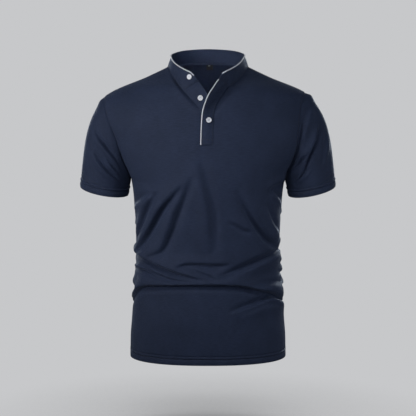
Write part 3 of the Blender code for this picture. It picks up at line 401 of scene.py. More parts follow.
def armhole_height(side, share):
    """Height at a share of the way round an armhole, from the underarm to the shoulder tip."""
    middle, half = armhole_span(side)
    return middle - half * np.cos(math.pi * share)


def section(height, side, face):
    """Half width, depth and roundness of the body's sections at some heights."""
    depth = between(SECTIONS, 1 if face == "front" else 2, height)
    roundness = between(SECTIONS, 3, height)
    middle, half = armhole_span(side)
    bow = ARMHOLE_DEPTH[face] * np.sqrt(np.clip(1.0 - ((height - middle) / half) ** 2, 0.0, 1.0))
    share = np.clip(bow / depth, 0.0, DEEPEST_ARMHOLE)
    upper = between(ARMHOLE[side], 1, height) / (1.0 - share ** roundness) ** (1.0 / roundness)
    top = np.where(height >= SHOULDER_TIP[side], between(SHOULDER_LINE, 1, height), upper)
    return np.where(height <= UNDERARM, between(SIDE_SEAM, 1, height), top), depth, roundness


def fold_lift(folds, across, along):
    """Lift of the cloth by all its folds, over flat places across and along it."""
    flat = np.stack([np.ravel(across), np.ravel(along)], axis=1)
    lift = np.zeros(len(flat))
    for _, depth, half_width, ridge, ridge_side, steep, route in folds:
        line = along_curve(route, np.linspace(0.0, len(route) - 1.0, FOLD_STEPS))
        reach = FOLD_REACH * half_width
        in_reach = (flat > line.min(axis=0) - reach) & (flat < line.max(axis=0) + reach)
        near = np.flatnonzero(np.all(in_reach, axis=1))
        if len(near) == 0:
            continue
        spots = flat[near]
        nearest = np.argmin(((spots[:, None, :] - line[None, :, :]) ** 2).sum(axis=2), axis=1)
        ahead = np.gradient(line, axis=0)
        spacing = np.linalg.norm(ahead, axis=1)
        ahead = ahead / spacing[:, None]
        offset = spots - line[nearest]
        way = ahead[nearest]
        distance = (way[:, 0] * offset[:, 1] - way[:, 1] * offset[:, 0]) * ridge_side
        place = (nearest + (offset * way).sum(axis=1) / spacing[nearest] + 0.5) / len(line)
        taper = np.sin(math.pi * np.clip(place, 0.0, 1.0)) ** TAPER_POWER
        trough = np.exp(-(distance / (half_width * np.where(distance > 0.0, steep, 1.0))) ** 2)
        crest_place = CREST_PLACE * half_width * steep
        crest_width = CREST_WIDTH * half_width * np.where(distance < crest_place, steep, 2.0 - steep)
        crest = np.exp(-((distance - crest_place) / crest_width) ** 2)
        lift[near] += taper * (ridge * crest - depth * trough)
    return lift.reshape(np.shape(across))


def body_surface(x, height, side, face, on_seam=False):
    """Points of the body's cloth, the directions out of it, and its girths. x has no sign."""
    width, depth, roundness = section(height, side, face)
    share = np.minimum(x / width, 1.0)
    bulge = depth * np.maximum(0.0, 1.0 - share ** roundness) ** (1.0 / roundness)
    y = np.where(on_seam, SEAM_GAP / 2.0, bulge)

    def reach(px, py, pz):
        width, depth, roundness = section(pz, side, face)
        return (np.abs(px) / width) ** roundness + (np.abs(py) / depth) ** roundness

    rise = np.stack([reach(x + SLOPE_STEP, y, height) - reach(x - SLOPE_STEP, y, height),
                     reach(x, y + SLOPE_STEP, height) - reach(x, y - SLOPE_STEP, height),
                     reach(x, y, height + SLOPE_STEP) - reach(x, y, height - SLOPE_STEP)], axis=-1)
    rise /= np.linalg.norm(rise, axis=-1, keepdims=True)
    sign = np.array([SIDE_SIGN[side], FACE_SIGN[face], 1.0])
    turn = np.arcsin(share) * GIRTH_RADIUS
    girth = (turn if face == "front" else 2.0 * SIDE_GIRTH - turn) * SIDE_SIGN[side]
    lift = sum(fold_lift(BODY_FOLDS, girth + FULL_GIRTH * around, height) for around in (-1, 0, 1))
    lift = lift * ramp(UNDERARM + FOLDS_END - height, FOLDS_FADE)
    points = np.stack([x, y, height], axis=-1) * sign
    outward = rise * sign
    return points + outward * lift[..., None], outward, girth


def spread(spans):
    """Values over several spans, each (start, end, steps)."""
    values = [spans[0][0]]
    for start, end, steps in spans:
        values += list(np.linspace(start, end, steps + 1)[1:])
    return np.array(values)


# Columns of a half panel, as shares of the way from the middle to the seam, where they crowd together
BODY_COLUMNS = np.concatenate([np.linspace(0.0, 0.975, 76), [0.983, 0.989, 0.9935, 0.9968, 1.0]])
# Rows from the hem to the underarm, closest in the hem and where the folds run
LOWER_HEIGHTS = spread([(HEM, HEM + 0.002, 2), (HEM + 0.002, HEM + 0.012, 4), (HEM + 0.012, HEM + 0.021, 9),
                        (HEM + 0.021, HEM + 0.026, 2), (HEM + 0.026, -0.528, 24), (-0.528, -0.385, 84),
                        (-0.385, UNDERARM, 42)])
HEM_RISE = LOWER_HEIGHTS - HEM
LOWER_ROWS = len(LOWER_HEIGHTS)
# Rows from the underarm to the shoulder, as shares of the way
PLACKET_FOOT = PLACKET_FOOT_STEP / OPENING_STEPS
NECK_CORNER = NECK_CORNER_STEP / OPENING_STEPS
ROWS_TO_PLACKET = 19
PLACKET_ROWS = 32
UPPER_STEPS = spread([(0.0, PLACKET_FOOT, ROWS_TO_PLACKET), (PLACKET_FOOT, NECK_CORNER, PLACKET_ROWS),
                      (NECK_CORNER, 0.975, 17), (0.975, 1.0, 5)])


def half_panel(side, face, inner_line):
    """Points, directions and girths of half a panel: rows from hem to shoulder, columns from the middle."""
    across = BODY_COLUMNS[None, :]
    height = np.repeat(LOWER_HEIGHTS[:, None], across.shape[1], axis=1)
    width, _, roundness = section(height, side, face)
    start = np.arcsin((inner_line(0.0)[0] / width) ** (roundness / 2.0))
    x = width * np.sin(start + (math.pi / 2.0 - start) * across) ** (2.0 / roundness)

    up = UPPER_STEPS[1:, None]
    armhole_z = armhole_height(side, up)
    outer = np.stack([between(ARMHOLE[side], 1, armhole_z), armhole_z], axis=-1)
    inner = np.array([inner_line(float(step)) for step in up[:, 0]])[:, None, :]
    foot = np.stack([x[-1], height[-1]], axis=-1)[None]
    top_x = HIGH_SHOULDER + (outer[-1, 0, 0] - HIGH_SHOULDER) * across[0]
    line = sorted((distance, z) for z, distance in SHOULDER_LINE if z <= 0.0)
    top = np.stack([top_x, between(line, 1, top_x)], axis=-1)[None]
    across, up = across[..., None], up[..., None]
    corners = ((1 - across) * (1 - up) * foot[:, :1] + across * (1 - up) * foot[:, -1:]
               + (1 - across) * up * top[:, :1] + across * up * top[:, -1:])
    upper = (1 - across) * inner + across * outer + (1 - up) * foot + up * top - corners
    x = np.vstack([x, upper[..., 0]])
    height = np.vstack([height, upper[..., 1]])

    on_seam = np.zeros(x.shape, dtype=bool)
    on_seam[-1] = True
    on_seam[:LOWER_ROWS, -1] = True
    return body_surface(x, height, side, face, on_seam)


def lengths_from_end(points, axis):
    """Distance along the cloth from the last row or column of a grid."""
    steps = np.linalg.norm(np.diff(points, axis=axis), axis=-1)
    back = np.flip(np.cumsum(np.flip(steps, axis=axis), axis=axis), axis=axis)
    return np.concatenate([back, np.zeros_like(np.take(back, [0], axis=axis))], axis=axis)


def draw_in_at_seams(points, outward, distances):
    """The cloth dips where a seam holds it."""
    for distance in distances:
        points = points - outward * (SEAM_DIP * np.exp(-(distance / SEAM_DIP_WIDTH) ** 2))[..., None]
    return points


def shape_hem(points, outward, rise, fade=1.0):
    """The turned-up hem: it swells below and between the needle rows, which draw the cloth in."""
    swell = sum(lift * np.exp(-((rise - place) / reach) ** 2) for place, reach, lift in HEM_SWELLS)
    for needle in HEM_NEEDLES:
        swell = swell - NEEDLE_DIP * np.exp(-((rise - needle) / NEEDLE_DIP_WIDTH) ** 2)
    return points + outward * (fade * np.where(rise < HEM_SHAPED, swell, 0.0))[..., None]


def add_hem_turn(points, outward, flat, rise):
    """Rows inside the edge: the cloth rolls over and runs back up behind itself."""
    turned = []
    for height, inset in HEM_TURN_ROWS:
        if height > HEM_ROLL:
            row = min(np.searchsorted(rise, height), len(rise) - 1)
            turned.append(points[row] - outward[row] * inset)
        else:
            turned.append(points[0] - outward[0] * inset + (points[1] - points[0]) * (height / rise[1]))
    flat_turned = np.repeat(flat[:1], HEM_ROWS, axis=0)
    flat_turned[..., 1] -= np.linspace(HEM_TURN, HEM_ROLL_CLOTH, HEM_ROWS)[:, None]
    added = np.stack(turned), np.repeat(outward[:1], HEM_ROWS, axis=0), flat_turned
    return [np.concatenate(parts) for parts in zip(added, (points, outward, flat))]


def lay_sheet(name, points, flat, thickness, closed=False, cut=None):
    """A grid mesh on worked-out points, its flat place in metres as UV, then given the cloth's thickness."""
    rows, columns = points.shape[:2]
    bpy.ops.object.select_all(action="DESELECT")
    bpy.ops.mesh.primitive_grid_add(x_subdivisions=columns - 1, y_subdivisions=rows - 1, size=1.0)
    piece = bpy.context.object
    piece.name = piece.data.name = name
    places = np.empty(rows * columns * 3)
    piece.data.vertices.foreach_get("co", places)
    places = places.reshape(-1, 3)
    order = np.lexsort((places[:, 0], np.round(places[:, 1], 6)))
    laid = np.empty_like(places)
    laid[order] = points.reshape(-1, 3)
    piece.data.vertices.foreach_set("co", laid.ravel())
    metres = np.empty((rows * columns, 2))
    metres[order] = flat.reshape(-1, 2)
    corners = np.empty(len(piece.data.loops), dtype=int)
    piece.data.loops.foreach_get("vertex_index", corners)
    piece.data.uv_layers[0].name = "flat"
    piece.data.uv_layers[0].data.foreach_set("uv", metres[corners].ravel())
    if cut is not None or closed:
        work = bmesh.new()
        work.from_mesh(piece.data)
        if cut is not None:
            grid_place = np.empty((len(order), 2), dtype=int)
            grid_place[order] = np.stack(np.divmod(np.arange(len(order)), columns), axis=1)
            gone = [face for face in work.faces
                    if cut(*grid_place[[corner.index for corner in face.verts]].min(axis=0))]
            bmesh.ops.delete(work, geom=gone, context="FACES")
        if closed:
            bmesh.ops.remove_doubles(work, verts=work.verts, dist=MERGE_DISTANCE)
        work.to_mesh(piece.data)
        work.free()
    wall = piece.modifiers.new("thickness", "SOLIDIFY")
    wall.thickness = thickness
    wall.offset = -1.0
    bpy.ops.object.modifier_apply(modifier="thickness")
    bpy.ops.object.shade_smooth_by_angle(angle=SMOOTH_ANGLE)
    return piece


NAVY = (0.0212, 0.0308, 0.0640)
KNIT_STITCH = 0.00115       # width of a stitch of the knit
KNIT_STITCH_SHAPE = 0.82    # its height against its width
KNIT_SHADER = {"Roughness": 0.62, "Specular IOR Level": 0.10, "Sheen Weight": 0.12, "Sheen Roughness": 0.42,
               "Sheen Tint": (0.55, 0.68, 1.0, 1.0)}
KNIT_RIBS = 0.35            # strength of the ribs against the stitches
KNIT_DARK = (0.42, 0.66)    # position on the scale of shades, strength of the colour
KNIT_LIGHT = (0.92, 1.36)
KNIT_STITCH_PAINTED_SHADE = 0.10    # tone shares: stitch relief as painted light and shade, yarn, patches, slubs
KNIT_YARN_SHADE = 0.5
KNIT_PATCH_SHADE = 0.30
KNIT_SLUB_SHADE = 0.5


def knit_material(name, colour):
    """Matt cotton knit: raised stitches in rows over the flat cloth, mixed yarn shades and a faint sheen. The
    stitches' height is also painted into the colour, as painted light on their tops and painted shade between.
    """
    material = bpy.data.materials.new(name)
    material.use_nodes = True
    tree = material.node_tree
    shader = tree.nodes["Principled BSDF"]
    for socket, value in KNIT_SHADER.items():
        shader.inputs[socket].default_value = value
    flat = add_node(tree, "ShaderNodeUVMap")
    flat.uv_map = "flat"
    split = add_node(tree, "ShaderNodeSeparateXYZ", Vector=flat.outputs["UV"])
    across = reckon(tree, "MULTIPLY", split.outputs["X"], math.tau / KNIT_STITCH)
    along = reckon(tree, "MULTIPLY", split.outputs["Y"], math.tau / (KNIT_STITCH * KNIT_STITCH_SHAPE))
    cells = reckon(tree, "MULTIPLY", reckon(tree, "SINE", across), reckon(tree, "SINE", along))
    ribs = reckon(tree, "SINE", reckon(tree, "MULTIPLY", across, 2.0))
    stitches = reckon(tree, "ADD", cells, reckon(tree, "MULTIPLY", ribs, KNIT_RIBS))

    place = add_node(tree, "ShaderNodeTexCoord").outputs["Object"]
    yarn = add_node(tree, "ShaderNodeTexNoise", Scale=900.0, Detail=3.0, Vector=place).outputs["Fac"]
    patch = add_node(tree, "ShaderNodeTexNoise", Scale=26.0, Detail=4.0, Vector=place).outputs["Fac"]
    streak = add_node(tree, "ShaderNodeMapping", Scale=(110.0, 620.0, 1.0), Vector=flat.outputs["UV"])
    slub = add_node(tree, "ShaderNodeTexNoise", Scale=1.0, Detail=2.0, Vector=streak.outputs["Vector"])
    slub = slub.outputs["Fac"]
    # Painted light and shade: the stitches' height also tints the colour, lighter on their tops, darker
    # between.
    shade = reckon(tree, "MULTIPLY", stitches, KNIT_STITCH_PAINTED_SHADE)
    for noise, share in ((yarn, KNIT_YARN_SHADE), (patch, KNIT_PATCH_SHADE), (slub, KNIT_SLUB_SHADE)):
        shade = reckon(tree, "ADD", reckon(tree, "MULTIPLY", noise, share), shade)
    tones = add_node(tree, "ShaderNodeValToRGB", Fac=shade)
    for stop, (position, strength) in zip(tones.color_ramp.elements, (KNIT_DARK, KNIT_LIGHT)):
        stop.position = position
        stop.color = (*(channel * strength for channel in colour), 1.0)
    feed(tree, shader.inputs["Base Color"], tones.outputs["Color"])

    stitch_bump = add_node(tree, "ShaderNodeBump", Strength=0.55, Distance=0.00012, Height=stitches)
    soft_bump = add_node(tree, "ShaderNodeBump", Strength=0.30, Distance=0.0012, Height=patch,
                         Normal=stitch_bump.outputs["Normal"])
    feed(tree, shader.inputs["Normal"], soft_bump.outputs["Normal"])
    return material


navy_knit = knit_material("navy_knit", NAVY)


def front_opening(side):
    """The line of one side of the front opening, over a share of its length."""
    return lambda share: along_curve(OPENING[side], np.array(share * OPENING_STEPS))


def finish_body_edges(points, outward, girth):
    """Draw half a panel in at its side and shoulder seams, and shape its hem."""
    flat = np.stack([girth, points[..., 2]], axis=-1)
    from_side = lengths_from_end(points, 1)
    points = draw_in_at_seams(points, outward, (from_side, lengths_from_end(points, 0)))
    near_side = ramp(from_side[:LOWER_ROWS], HEM_FADE) ** HEM_FADE_POWER
    points[:LOWER_ROWS] = shape_hem(points[:LOWER_ROWS], outward[:LOWER_ROWS], HEM_RISE[:, None], near_side)
    return points, outward, flat


def turn_in(points, outward, flat, axis, steps=TRIMMED, press=0.0):
    """Add a seam allowance after the last row or column: it turns in and, where it is pressed, lies back."""
    edge, away, place = (np.take(part, [-1], axis=axis) for part in (points, outward, flat))
    backwards = np.asarray(press)[..., None] * np.array([0.0, 1.0, 0.0])
    parts = [[points], [outward], [flat]]
    for depth, across in steps:
        shifted = place.copy()
        shifted[..., 1 - axis] += depth + across
        for part, added in zip(parts, (edge - away * depth + backwards * across, away, shifted)):
            part.append(added)
    return [np.concatenate(part, axis=axis) for part in parts]


# Folds that run from the collar into the placket, through front and strips alike: as above, but the route is
# (x, height)
NECK_FOLDS = [
    ("right valley", 0.0044, 0.0055, 0.0018, -1, 0.80,
     [(-0.0780, -0.0140), (-0.0688, -0.0268), (-0.0518, -0.0474), (-0.0305, -0.0698), (-0.0154, -0.0870)]),
    ("left roll", 0.0092, 0.0105, 0.0070, -1, 0.75,
     [(0.0820, -0.0120), (0.0620, -0.0262), (0.0440, -0.0400), (0.0310, -0.0535), (0.0200, -0.0665),
      (0.0115, -0.0790), (0.0060, -0.0910), (0.0030, -0.1050)]),
]


def neck_folds(points, outward):
    """Cloth near the placket, with the folds that run down from the collar."""
    return points + outward * fold_lift(NECK_FOLDS, points[..., 0], points[..., 2])[..., None]


FRONT_MIDDLE = 8            # columns between the two sides of the slot, below the placket
halves = {}
for side in SIDE_SIGN:
    points, outward, girth = half_panel(side, "front", front_opening(side))
    halves["front", side] = finish_body_edges(neck_folds(points, outward), outward, girth)


def middle_column(x, height, face):
    """Points, directions and flat places of one column of cloth between the halves of a panel."""
    side = "left" if x[0] > 0.0 else "right"
    points, outward, girth = body_surface(np.abs(x), height, side, face)
    points[:LOWER_ROWS] = shape_hem(points[:LOWER_ROWS], outward[:LOWER_ROWS], HEM_RISE)
    girth = girth if face == "front" else girth % FULL_GIRTH
    return points, outward, np.stack([girth, height], axis=-1)


def join_halves(right, left, columns):
    """One grid from the wearer's right edge, through the middle columns, to the left edge."""
    middle = [np.stack(part, axis=1) for part in zip(*columns)]
    return [np.concatenate([np.flip(r, axis=1), m, l], axis=1) for r, m, l in zip(right, middle, left)]


def front_middle_columns():
    """Columns between the two halves: real cloth below the slot, and left out above it."""
    right, left = (halves["front", side][0][:, 0] for side in SIDE_SIGN)
    for share in np.arange(1, FRONT_MIDDLE) / FRONT_MIDDLE:
        x, _, height = (right * (1 - share) + left * share).T
        yield middle_column(x, height, "front")


def press_side(side):
    """How far a side's allowance is pressed back: from above the turned-up hem to below the armhole."""
    height = halves["front", side][0][:, -1:, 2]
    return ramp(PRESSED_TO - height, PRESS_FADE) * ramp(height - PRESSED_FROM, PRESS_FADE_AT_HEM)


front_sides = [turn_in(*halves["front", side], 1, LAID_BACK, press_side(side)) for side in SIDE_SIGN]
front_grid = join_halves(*front_sides, front_middle_columns())
press_shoulders = ramp(PRESSED_SHOULDER - np.abs(front_grid[0][-1:, :, 0]), PRESS_FADE)
front_grid = turn_in(*front_grid, 0, LAID_BACK, press_shoulders)
front_points, front_outward, front_flat = add_hem_turn(*front_grid, HEM_RISE)
HALF_COLUMNS = len(BODY_COLUMNS) + len(TRIMMED)
placket_row = LOWER_ROWS - 1 + ROWS_TO_PLACKET
slot_columns = range(HALF_COLUMNS - 1, HALF_COLUMNS - 1 + FRONT_MIDDLE)
front = lay_sheet("front_cloth", front_points, front_flat, CLOTH,
                  cut=lambda row, column: row >= HEM_ROWS + placket_row and column in slot_columns)
front.data.materials.append(navy_knit)
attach(front, "root")
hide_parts("front_panel")


# ------------------------------------------------------------------------------
# Back panel: the same knit, cut in one piece up to the back neck. It is sewn to the front at the sides and
# shoulders, and its hem is turned up in line with the front's.
BACK_NECK_RISE = 0.004
BACK_NECK_FOOT = 0.060      # half width of the columns under the back neck, at the underarm
BACK_NECK_COLUMNS = 44


def back_inner_line(share):
    """Where a half of the back starts, from underarm to high shoulder: distance from the middle, height."""
    return np.array([BACK_NECK_FOOT + (HIGH_SHOULDER - BACK_NECK_FOOT) * share, UNDERARM * (1.0 - share)])


def back_middle_columns():
    """Columns under the back neck, spread to follow the round of the neckline at the top."""
    below = np.zeros(LOWER_ROWS)
    half_width, height_up = back_inner_line(np.concatenate([below, UPPER_STEPS[1:]]))
    edge_height = np.concatenate([LOWER_HEIGHTS, height_up[LOWER_ROWS:]])
    upward = np.concatenate([below, UPPER_STEPS[1:] ** 2])
    for number in range(1, BACK_NECK_COLUMNS):
        even = 2.0 * number / BACK_NECK_COLUMNS - 1.0
        across = even + (math.sin(math.pi / 2.0 * even) - even) * upward
        height = edge_height + upward * BACK_NECK_RISE * (1.0 - across ** 2)
        yield middle_column(half_width * across, height, "back")


for side in SIDE_SIGN:
    points, outward, girth = half_panel(side, "back", back_inner_line)
    halves["back", side] = finish_body_edges(points, outward, girth % FULL_GIRTH)
back_grid = join_halves(*(turn_in(*halves["back", side], 1) for side in SIDE_SIGN), back_middle_columns())
back_neck_line = back_grid[0][-1, HALF_COLUMNS - 1:HALF_COLUMNS + BACK_NECK_COLUMNS].copy()
back_grid = [np.flip(part, axis=1) for part in turn_in(*back_grid, 0)]
back_points, back_outward, back_flat = add_hem_turn(*back_grid, HEM_RISE)
back = lay_sheet("back_cloth", back_points, back_flat, CLOTH)
back.data.materials.append(navy_knit)
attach(back, "root")
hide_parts("back_panel")


# ------------------------------------------------------------------------------
# Sleeves: one piece of knit each, set into the armhole, closed by a seam under the arm and turned up at the
# cuff, which a twin needle sews.
CUFF = {
    "right": {"centre": (-0.2275, 0.0, -0.2705), "across": (-0.0527, 0.0, 0.0095),
              "forward": (0.0, -0.0530, -0.0065)},
    "left": {"centre": (0.2280, 0.0, -0.2705), "across": (0.0518, 0.0, 0.0110),
             "forward": (0.0, -0.0530, -0.0065)},
}
CUFF_LEAN = 0.105           # outward lean of the sleeve at its cuff
# Lean of the cloth where it leaves the armhole, against its way down: outwards all round, outwards at front
# and back, away from the middle of the sleeve there, and for the head of each outwards and less steeply
UNDERARM_LEAN = 0.10
SIDE_LEAN = 0.34
FACE_LEAN = 0.12
HEAD_LEAN = {"right": (0.42, 0.30), "left": (0.60, 0.38)}
# How long the cloth keeps the armhole's and the cuff's lean, as shares of its length, and more of it on top
ARMHOLE_HOLD = 0.34
CUFF_HOLD = 0.36
CUFF_HOLD_ON_TOP = 0.10
FACING_ALIKE = 0.6          # from this likeness on, the sleeve's edge faces just as the armhole's does
SLEEVE_RADIUS = 0.056       # turns degrees round a sleeve into metres of cloth
SLEEVE_LENGTH = 0.200       # turns a share of the sleeve's length into metres of cloth
SLEEVE_FOLDS_START = 0.01   # the folds rise to their full height over this length from the armhole
# Folds of a sleeve: name, trough depth, half width, ridge height, side of the ridge, steepness, and the route
# as (turn from the top towards the front in degrees, share of the length from armhole to hem)
SLEEVE_FOLDS = {
    "right": [
        ("upper pull", 0.0054, 0.0075, 0.0042, 1, 0.65,
         [(44.0, 0.285), (60.0, 0.275), (74.0, 0.266), (88.0, 0.245), (112.0, 0.170)]),
        ("lower pull", 0.0050, 0.0075, 0.0040, 1, 0.65,
         [(56.0, 0.495), (68.0, 0.522), (83.0, 0.551), (100.0, 0.550), (122.0, 0.520)]),
        ("short pull", 0.0026, 0.0060, 0.0022, 1, 0.75, [(84.0, 0.395), (100.0, 0.385), (118.0, 0.350)]),
        ("head", 0.0, 0.0080, 0.0024, 1, 0.80, [(-50.0, 0.0), (0.0, 0.0), (40.0, 0.0)]),
        ("back pull", 0.0050, 0.0090, 0.0034, -1, 0.70, [(-50.0, 0.30), (-80.0, 0.33), (-116.0, 0.24)]),
        ("low back pull", 0.0038, 0.0085, 0.0028, -1, 0.70, [(-64.0, 0.56), (-92.0, 0.60), (-124.0, 0.56)]),
    ],
    "left": [
        ("upper pull", 0.0032, 0.0080, 0.0042, 1, 0.70,
         [(26.0, 0.125), (48.0, 0.095), (66.0, 0.080), (84.0, 0.075)]),
        ("armhole hollow", 0.0056, 0.0090, 0.0018, 1, 1.00,
         [(64.0, 0.100), (88.0, 0.062), (108.0, 0.055), (146.0, 0.060)]),
        ("long pull", 0.0068, 0.0080, 0.0052, -1, 0.55,
         [(34.0, 0.330), (44.0, 0.368), (58.0, 0.405), (72.0, 0.410), (84.0, 0.420), (98.0, 0.468),
          (118.0, 0.560)]),
        ("short pull", 0.0038, 0.0065, 0.0030, -1, 0.65,
         [(82.0, 0.375), (92.0, 0.345), (108.0, 0.250), (124.0, 0.200)]),
        ("low pull", 0.0028, 0.0070, 0.0034, -1, 0.70, [(120.0, 0.520), (104.0, 0.545), (86.0, 0.590)]),
        ("outer pull", 0.0022, 0.0065, 0.0038, 1, 0.75,
         [(28.0, 0.470), (40.0, 0.555), (50.0, 0.615), (62.0, 0.720)]),
        ("head", 0.0, 0.0080, 0.0044, 1, 0.80, [(-50.0, 0.0), (0.0, 0.0), (40.0, 0.0)]),
        ("back pull", 0.0052, 0.0090, 0.0036, 1, 0.70, [(-52.0, 0.32), (-84.0, 0.40), (-118.0, 0.52)]),
        ("high back pull", 0.0034, 0.0080, 0.0028, 1, 0.70, [(-60.0, 0.14), (-88.0, 0.17), (-120.0, 0.12)]),
    ],
}
SLEEVE_HALF_COLUMNS = 66
SLEEVE_PLACES = spread([(0.0, 0.03, 5), (0.03, 0.885, 52), (0.885, 0.990, 16), (0.990, 1.0, 3)])


def armhole_edge(side, face, shares):
    """Points and directions of the armhole's edge from the underarm to the shoulder tip."""
    height = armhole_height(side, shares)
    return body_surface(between(ARMHOLE[side], 1, height), height, side, face)[:2]


def unit(ways):
    """Directions of length 1."""
    return ways / np.linalg.norm(ways, axis=-1, keepdims=True)


def sleeve_form(side, start, turns):
    """Points of the sleeve from the armhole's edge to the cuff, before its folds."""
    sign = SIDE_SIGN[side]
    angle = np.radians(turns)[:, None]
    centre, across, forward = (np.array(CUFF[side][key]) for key in ("centre", "across", "forward"))
    end = centre + across * np.cos(angle) + forward * np.sin(angle)
    over, beside = np.maximum(0.0, np.cos(angle)), np.abs(np.sin(angle))
    head_out, head_flat = HEAD_LEAN[side]
    leave = unit(np.hstack([sign * (UNDERARM_LEAN + head_out * over + SIDE_LEAN * beside),
                            -FACE_LEAN * np.sin(angle), -1.0 + head_flat * over]))
    down = unit(np.array([sign * CUFF_LEAN, 0.0, -1.0]))
    span = np.linalg.norm(end - start, axis=1, keepdims=True)
    near = start + leave * span * ARMHOLE_HOLD
    far = end - down * span * (CUFF_HOLD + CUFF_HOLD_ON_TOP * over)
    t = SLEEVE_PLACES[:, None, None]
    return (1 - t) ** 3 * start + 3 * (1 - t) ** 2 * t * near + 3 * (1 - t) * t ** 2 * far + t ** 3 * end


def sleeve_cloth(side):
    """Rows from the cuff up to the armhole, columns round the sleeve, its faces turned outwards."""
    shares = np.linspace(0.0, 1.0, SLEEVE_HALF_COLUMNS + 1)
    front_edge, front_way = armhole_edge(side, "front", shares)
    back_edge, back_way = armhole_edge(side, "back", shares)
    start = np.concatenate([front_edge, back_edge[-2::-1]])
    seam_way = np.concatenate([front_way, back_way[-2::-1]])
    turns = np.concatenate([180.0 - 180.0 * shares, -180.0 + 180.0 * shares[-2::-1]])
    start[:, 1] = np.where(np.abs(start[:, 1]) < 2.0 * SEAM_GAP, 0.0, start[:, 1])
    start[-1], seam_way[-1] = start[0], seam_way[0]
    points = sleeve_form(side, start, turns)
    points[0] += SEAM_GAP * unit(points[1] - points[0])
    around = np.gradient(points, axis=1)
    around[:, 0] = around[:, -1] = points[:, 1] - points[:, -2]
    outward = unit(np.cross(around, np.gradient(points, axis=0)))
    top = SLEEVE_HALF_COLUMNS
    outward *= np.sign(np.dot(outward[-1, top], points[-1, top] - points[-1].mean(axis=0)))
    agree = ramp((outward[0] * seam_way).sum(axis=1, keepdims=True), FACING_ALIKE)
    points[0] += seam_way * SEAM_GAP * (1.0 - agree)
    outward[0] = unit(seam_way * agree + outward[0] * (1.0 - agree))

    folds = []
    for *sizes, route in SLEEVE_FOLDS[side]:
        flat_route = [(math.radians(turn) * SLEEVE_RADIUS, share * SLEEVE_LENGTH) for turn, share in route]
        folds.append((*sizes, flat_route))
    across, along = np.meshgrid(np.radians(turns) * SLEEVE_RADIUS, SLEEVE_PLACES * SLEEVE_LENGTH)
    lift = fold_lift(folds, across, along) * ramp(along, SLEEVE_FOLDS_START)
    points = points + outward * lift[..., None]

    rise = lengths_from_end(points, 0)
    from_underarm = np.radians(180.0 - np.abs(turns))[None] * SLEEVE_RADIUS
    points = draw_in_at_seams(points, outward, (rise[:1] - rise, from_underarm))
    points = shape_hem(points, outward, rise)
    order = slice(None) if side == "left" else slice(None, None, -1)
    cloth = [part[::-1, order] for part in (points, outward, np.stack([across, rise], axis=-1))]
    return add_hem_turn(*turn_in(*cloth, 0), rise[::-1].mean(axis=1))


# Each sleeve is laid as a closed sheet of the knit with its flat places in metres: it narrows from the armhole
# to the cuff
sleeve_grids = {}
for side in SIDE_SIGN:
    sleeve_points, sleeve_outward, sleeve_flat = sleeve_cloth(side)
    sleeve_grids[f"sleeve_{side}"] = sleeve_points, sleeve_outward, sleeve_flat
    sleeve = lay_sheet(f"sleeve_{side}_cloth", sleeve_points, sleeve_flat, CLOTH, closed=True)
    sleeve.data.materials.append(navy_knit)
    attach(sleeve, "root")
    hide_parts(f"sleeve_{side}")


# ------------------------------------------------------------------------------
# Placket: two doubled strips of the knit. The under strip carries a button and fills the slot. The over strip
# carries another, is edged with piping, lies over the slot and ends in a stitched box.
PLACKET_THICKNESS = 0.0013
PLACKET_COLUMNS = 16
OVER_PLACKET_FOOT = -0.1600     # lower end of the over strip, below the foot of the opening
FOOT_ROWS = 4               # rows below the foot of the opening
UNDER_BULGE = 0.0012        # how far each strip is rounded outwards at its middle
OVER_BULGE = 0.0010
OVER_PROUD = 0.0016 + 2.0 * SEAM_GAP    # how far the over strip stands out from the front
FOOT_PROUD = OVER_PROUD + 0.0002
SEAM_BLEND = 0.0085         # over this width the strip rises from its seam to its full height
# Free edges, a row for each step of the opening from the placket's foot: x, height, distance in front of the
# chest
UNDER_PLACKET_EDGE = [
    (0.0090, -0.1550, 0.0), (0.0090, -0.1345, 0.0), (0.0090, -0.1110, 0.0), (0.0085, -0.0830, 0.002),
    (0.0025, -0.0610, 0.007), (-0.0080, -0.0430, 0.014), (-0.0200, -0.0270, 0.022),
]
OVER_PLACKET_EDGE = [
    (-0.0143, -0.1550, 0.0), (-0.0135, -0.1320, 0.0), (-0.0124, -0.1080, 0.001), (-0.0098, -0.0855, 0.004),
    (-0.0050, -0.0650, 0.011), (0.0030, -0.0480, 0.018), (0.0205, -0.0270, 0.026),
]
FORWARDS = np.array([0.0, -1.0, 0.0])

strip_rows = slice(placket_row, placket_row + PLACKET_ROWS + 1)
strip_places = UPPER_STEPS[ROWS_TO_PLACKET:][:PLACKET_ROWS + 1] * OPENING_STEPS - PLACKET_FOOT_STEP
across_strip = np.linspace(0.0, 1.0, PLACKET_COLUMNS + 1)[None, :, None]


def front_surface(x, height):
    """Points and directions of the front at places whose x has its sign."""
    right, left = (body_surface(np.abs(x), height, side, "front") for side in SIDE_SIGN)
    wearers_left = (np.asarray(x) > 0.0)[..., None]
    return np.where(wearers_left, left[0], right[0]), np.where(wearers_left, left[1], right[1])


def free_edge(edge):
    """Points and directions along the free edge of a strip."""
    x, height, forward = along_curve(edge, strip_places).T
    points, outward = front_surface(x, height)
    points[:, 1] -= forward
    return points, outward


def strip_cloth(seam, seam_way, free, free_way, bulge):
    """A strip from its seam to its free edge, rounded outwards at the middle."""
    way = unit(seam_way[:, None] * (1 - across_strip) + free_way[:, None] * across_strip)
    strip = seam[:, None] * (1 - across_strip) + free[:, None] * across_strip
    return strip + way * bulge * 4.0 * across_strip * (1.0 - across_strip)


def sheet_directions(points, towards):
    """Outward directions of an open sheet, on the side of the direction towards."""
    way = unit(np.cross(np.gradient(points, axis=1), np.gradient(points, axis=0)))
    return way * np.sign((way * towards).sum(axis=-1, keepdims=True))


def fold_strip(points, outward):
    """A strip with the folds near the collar, from none at its seam to all of them at its free edge."""
    return points + (neck_folds(points, outward) - points) * across_strip


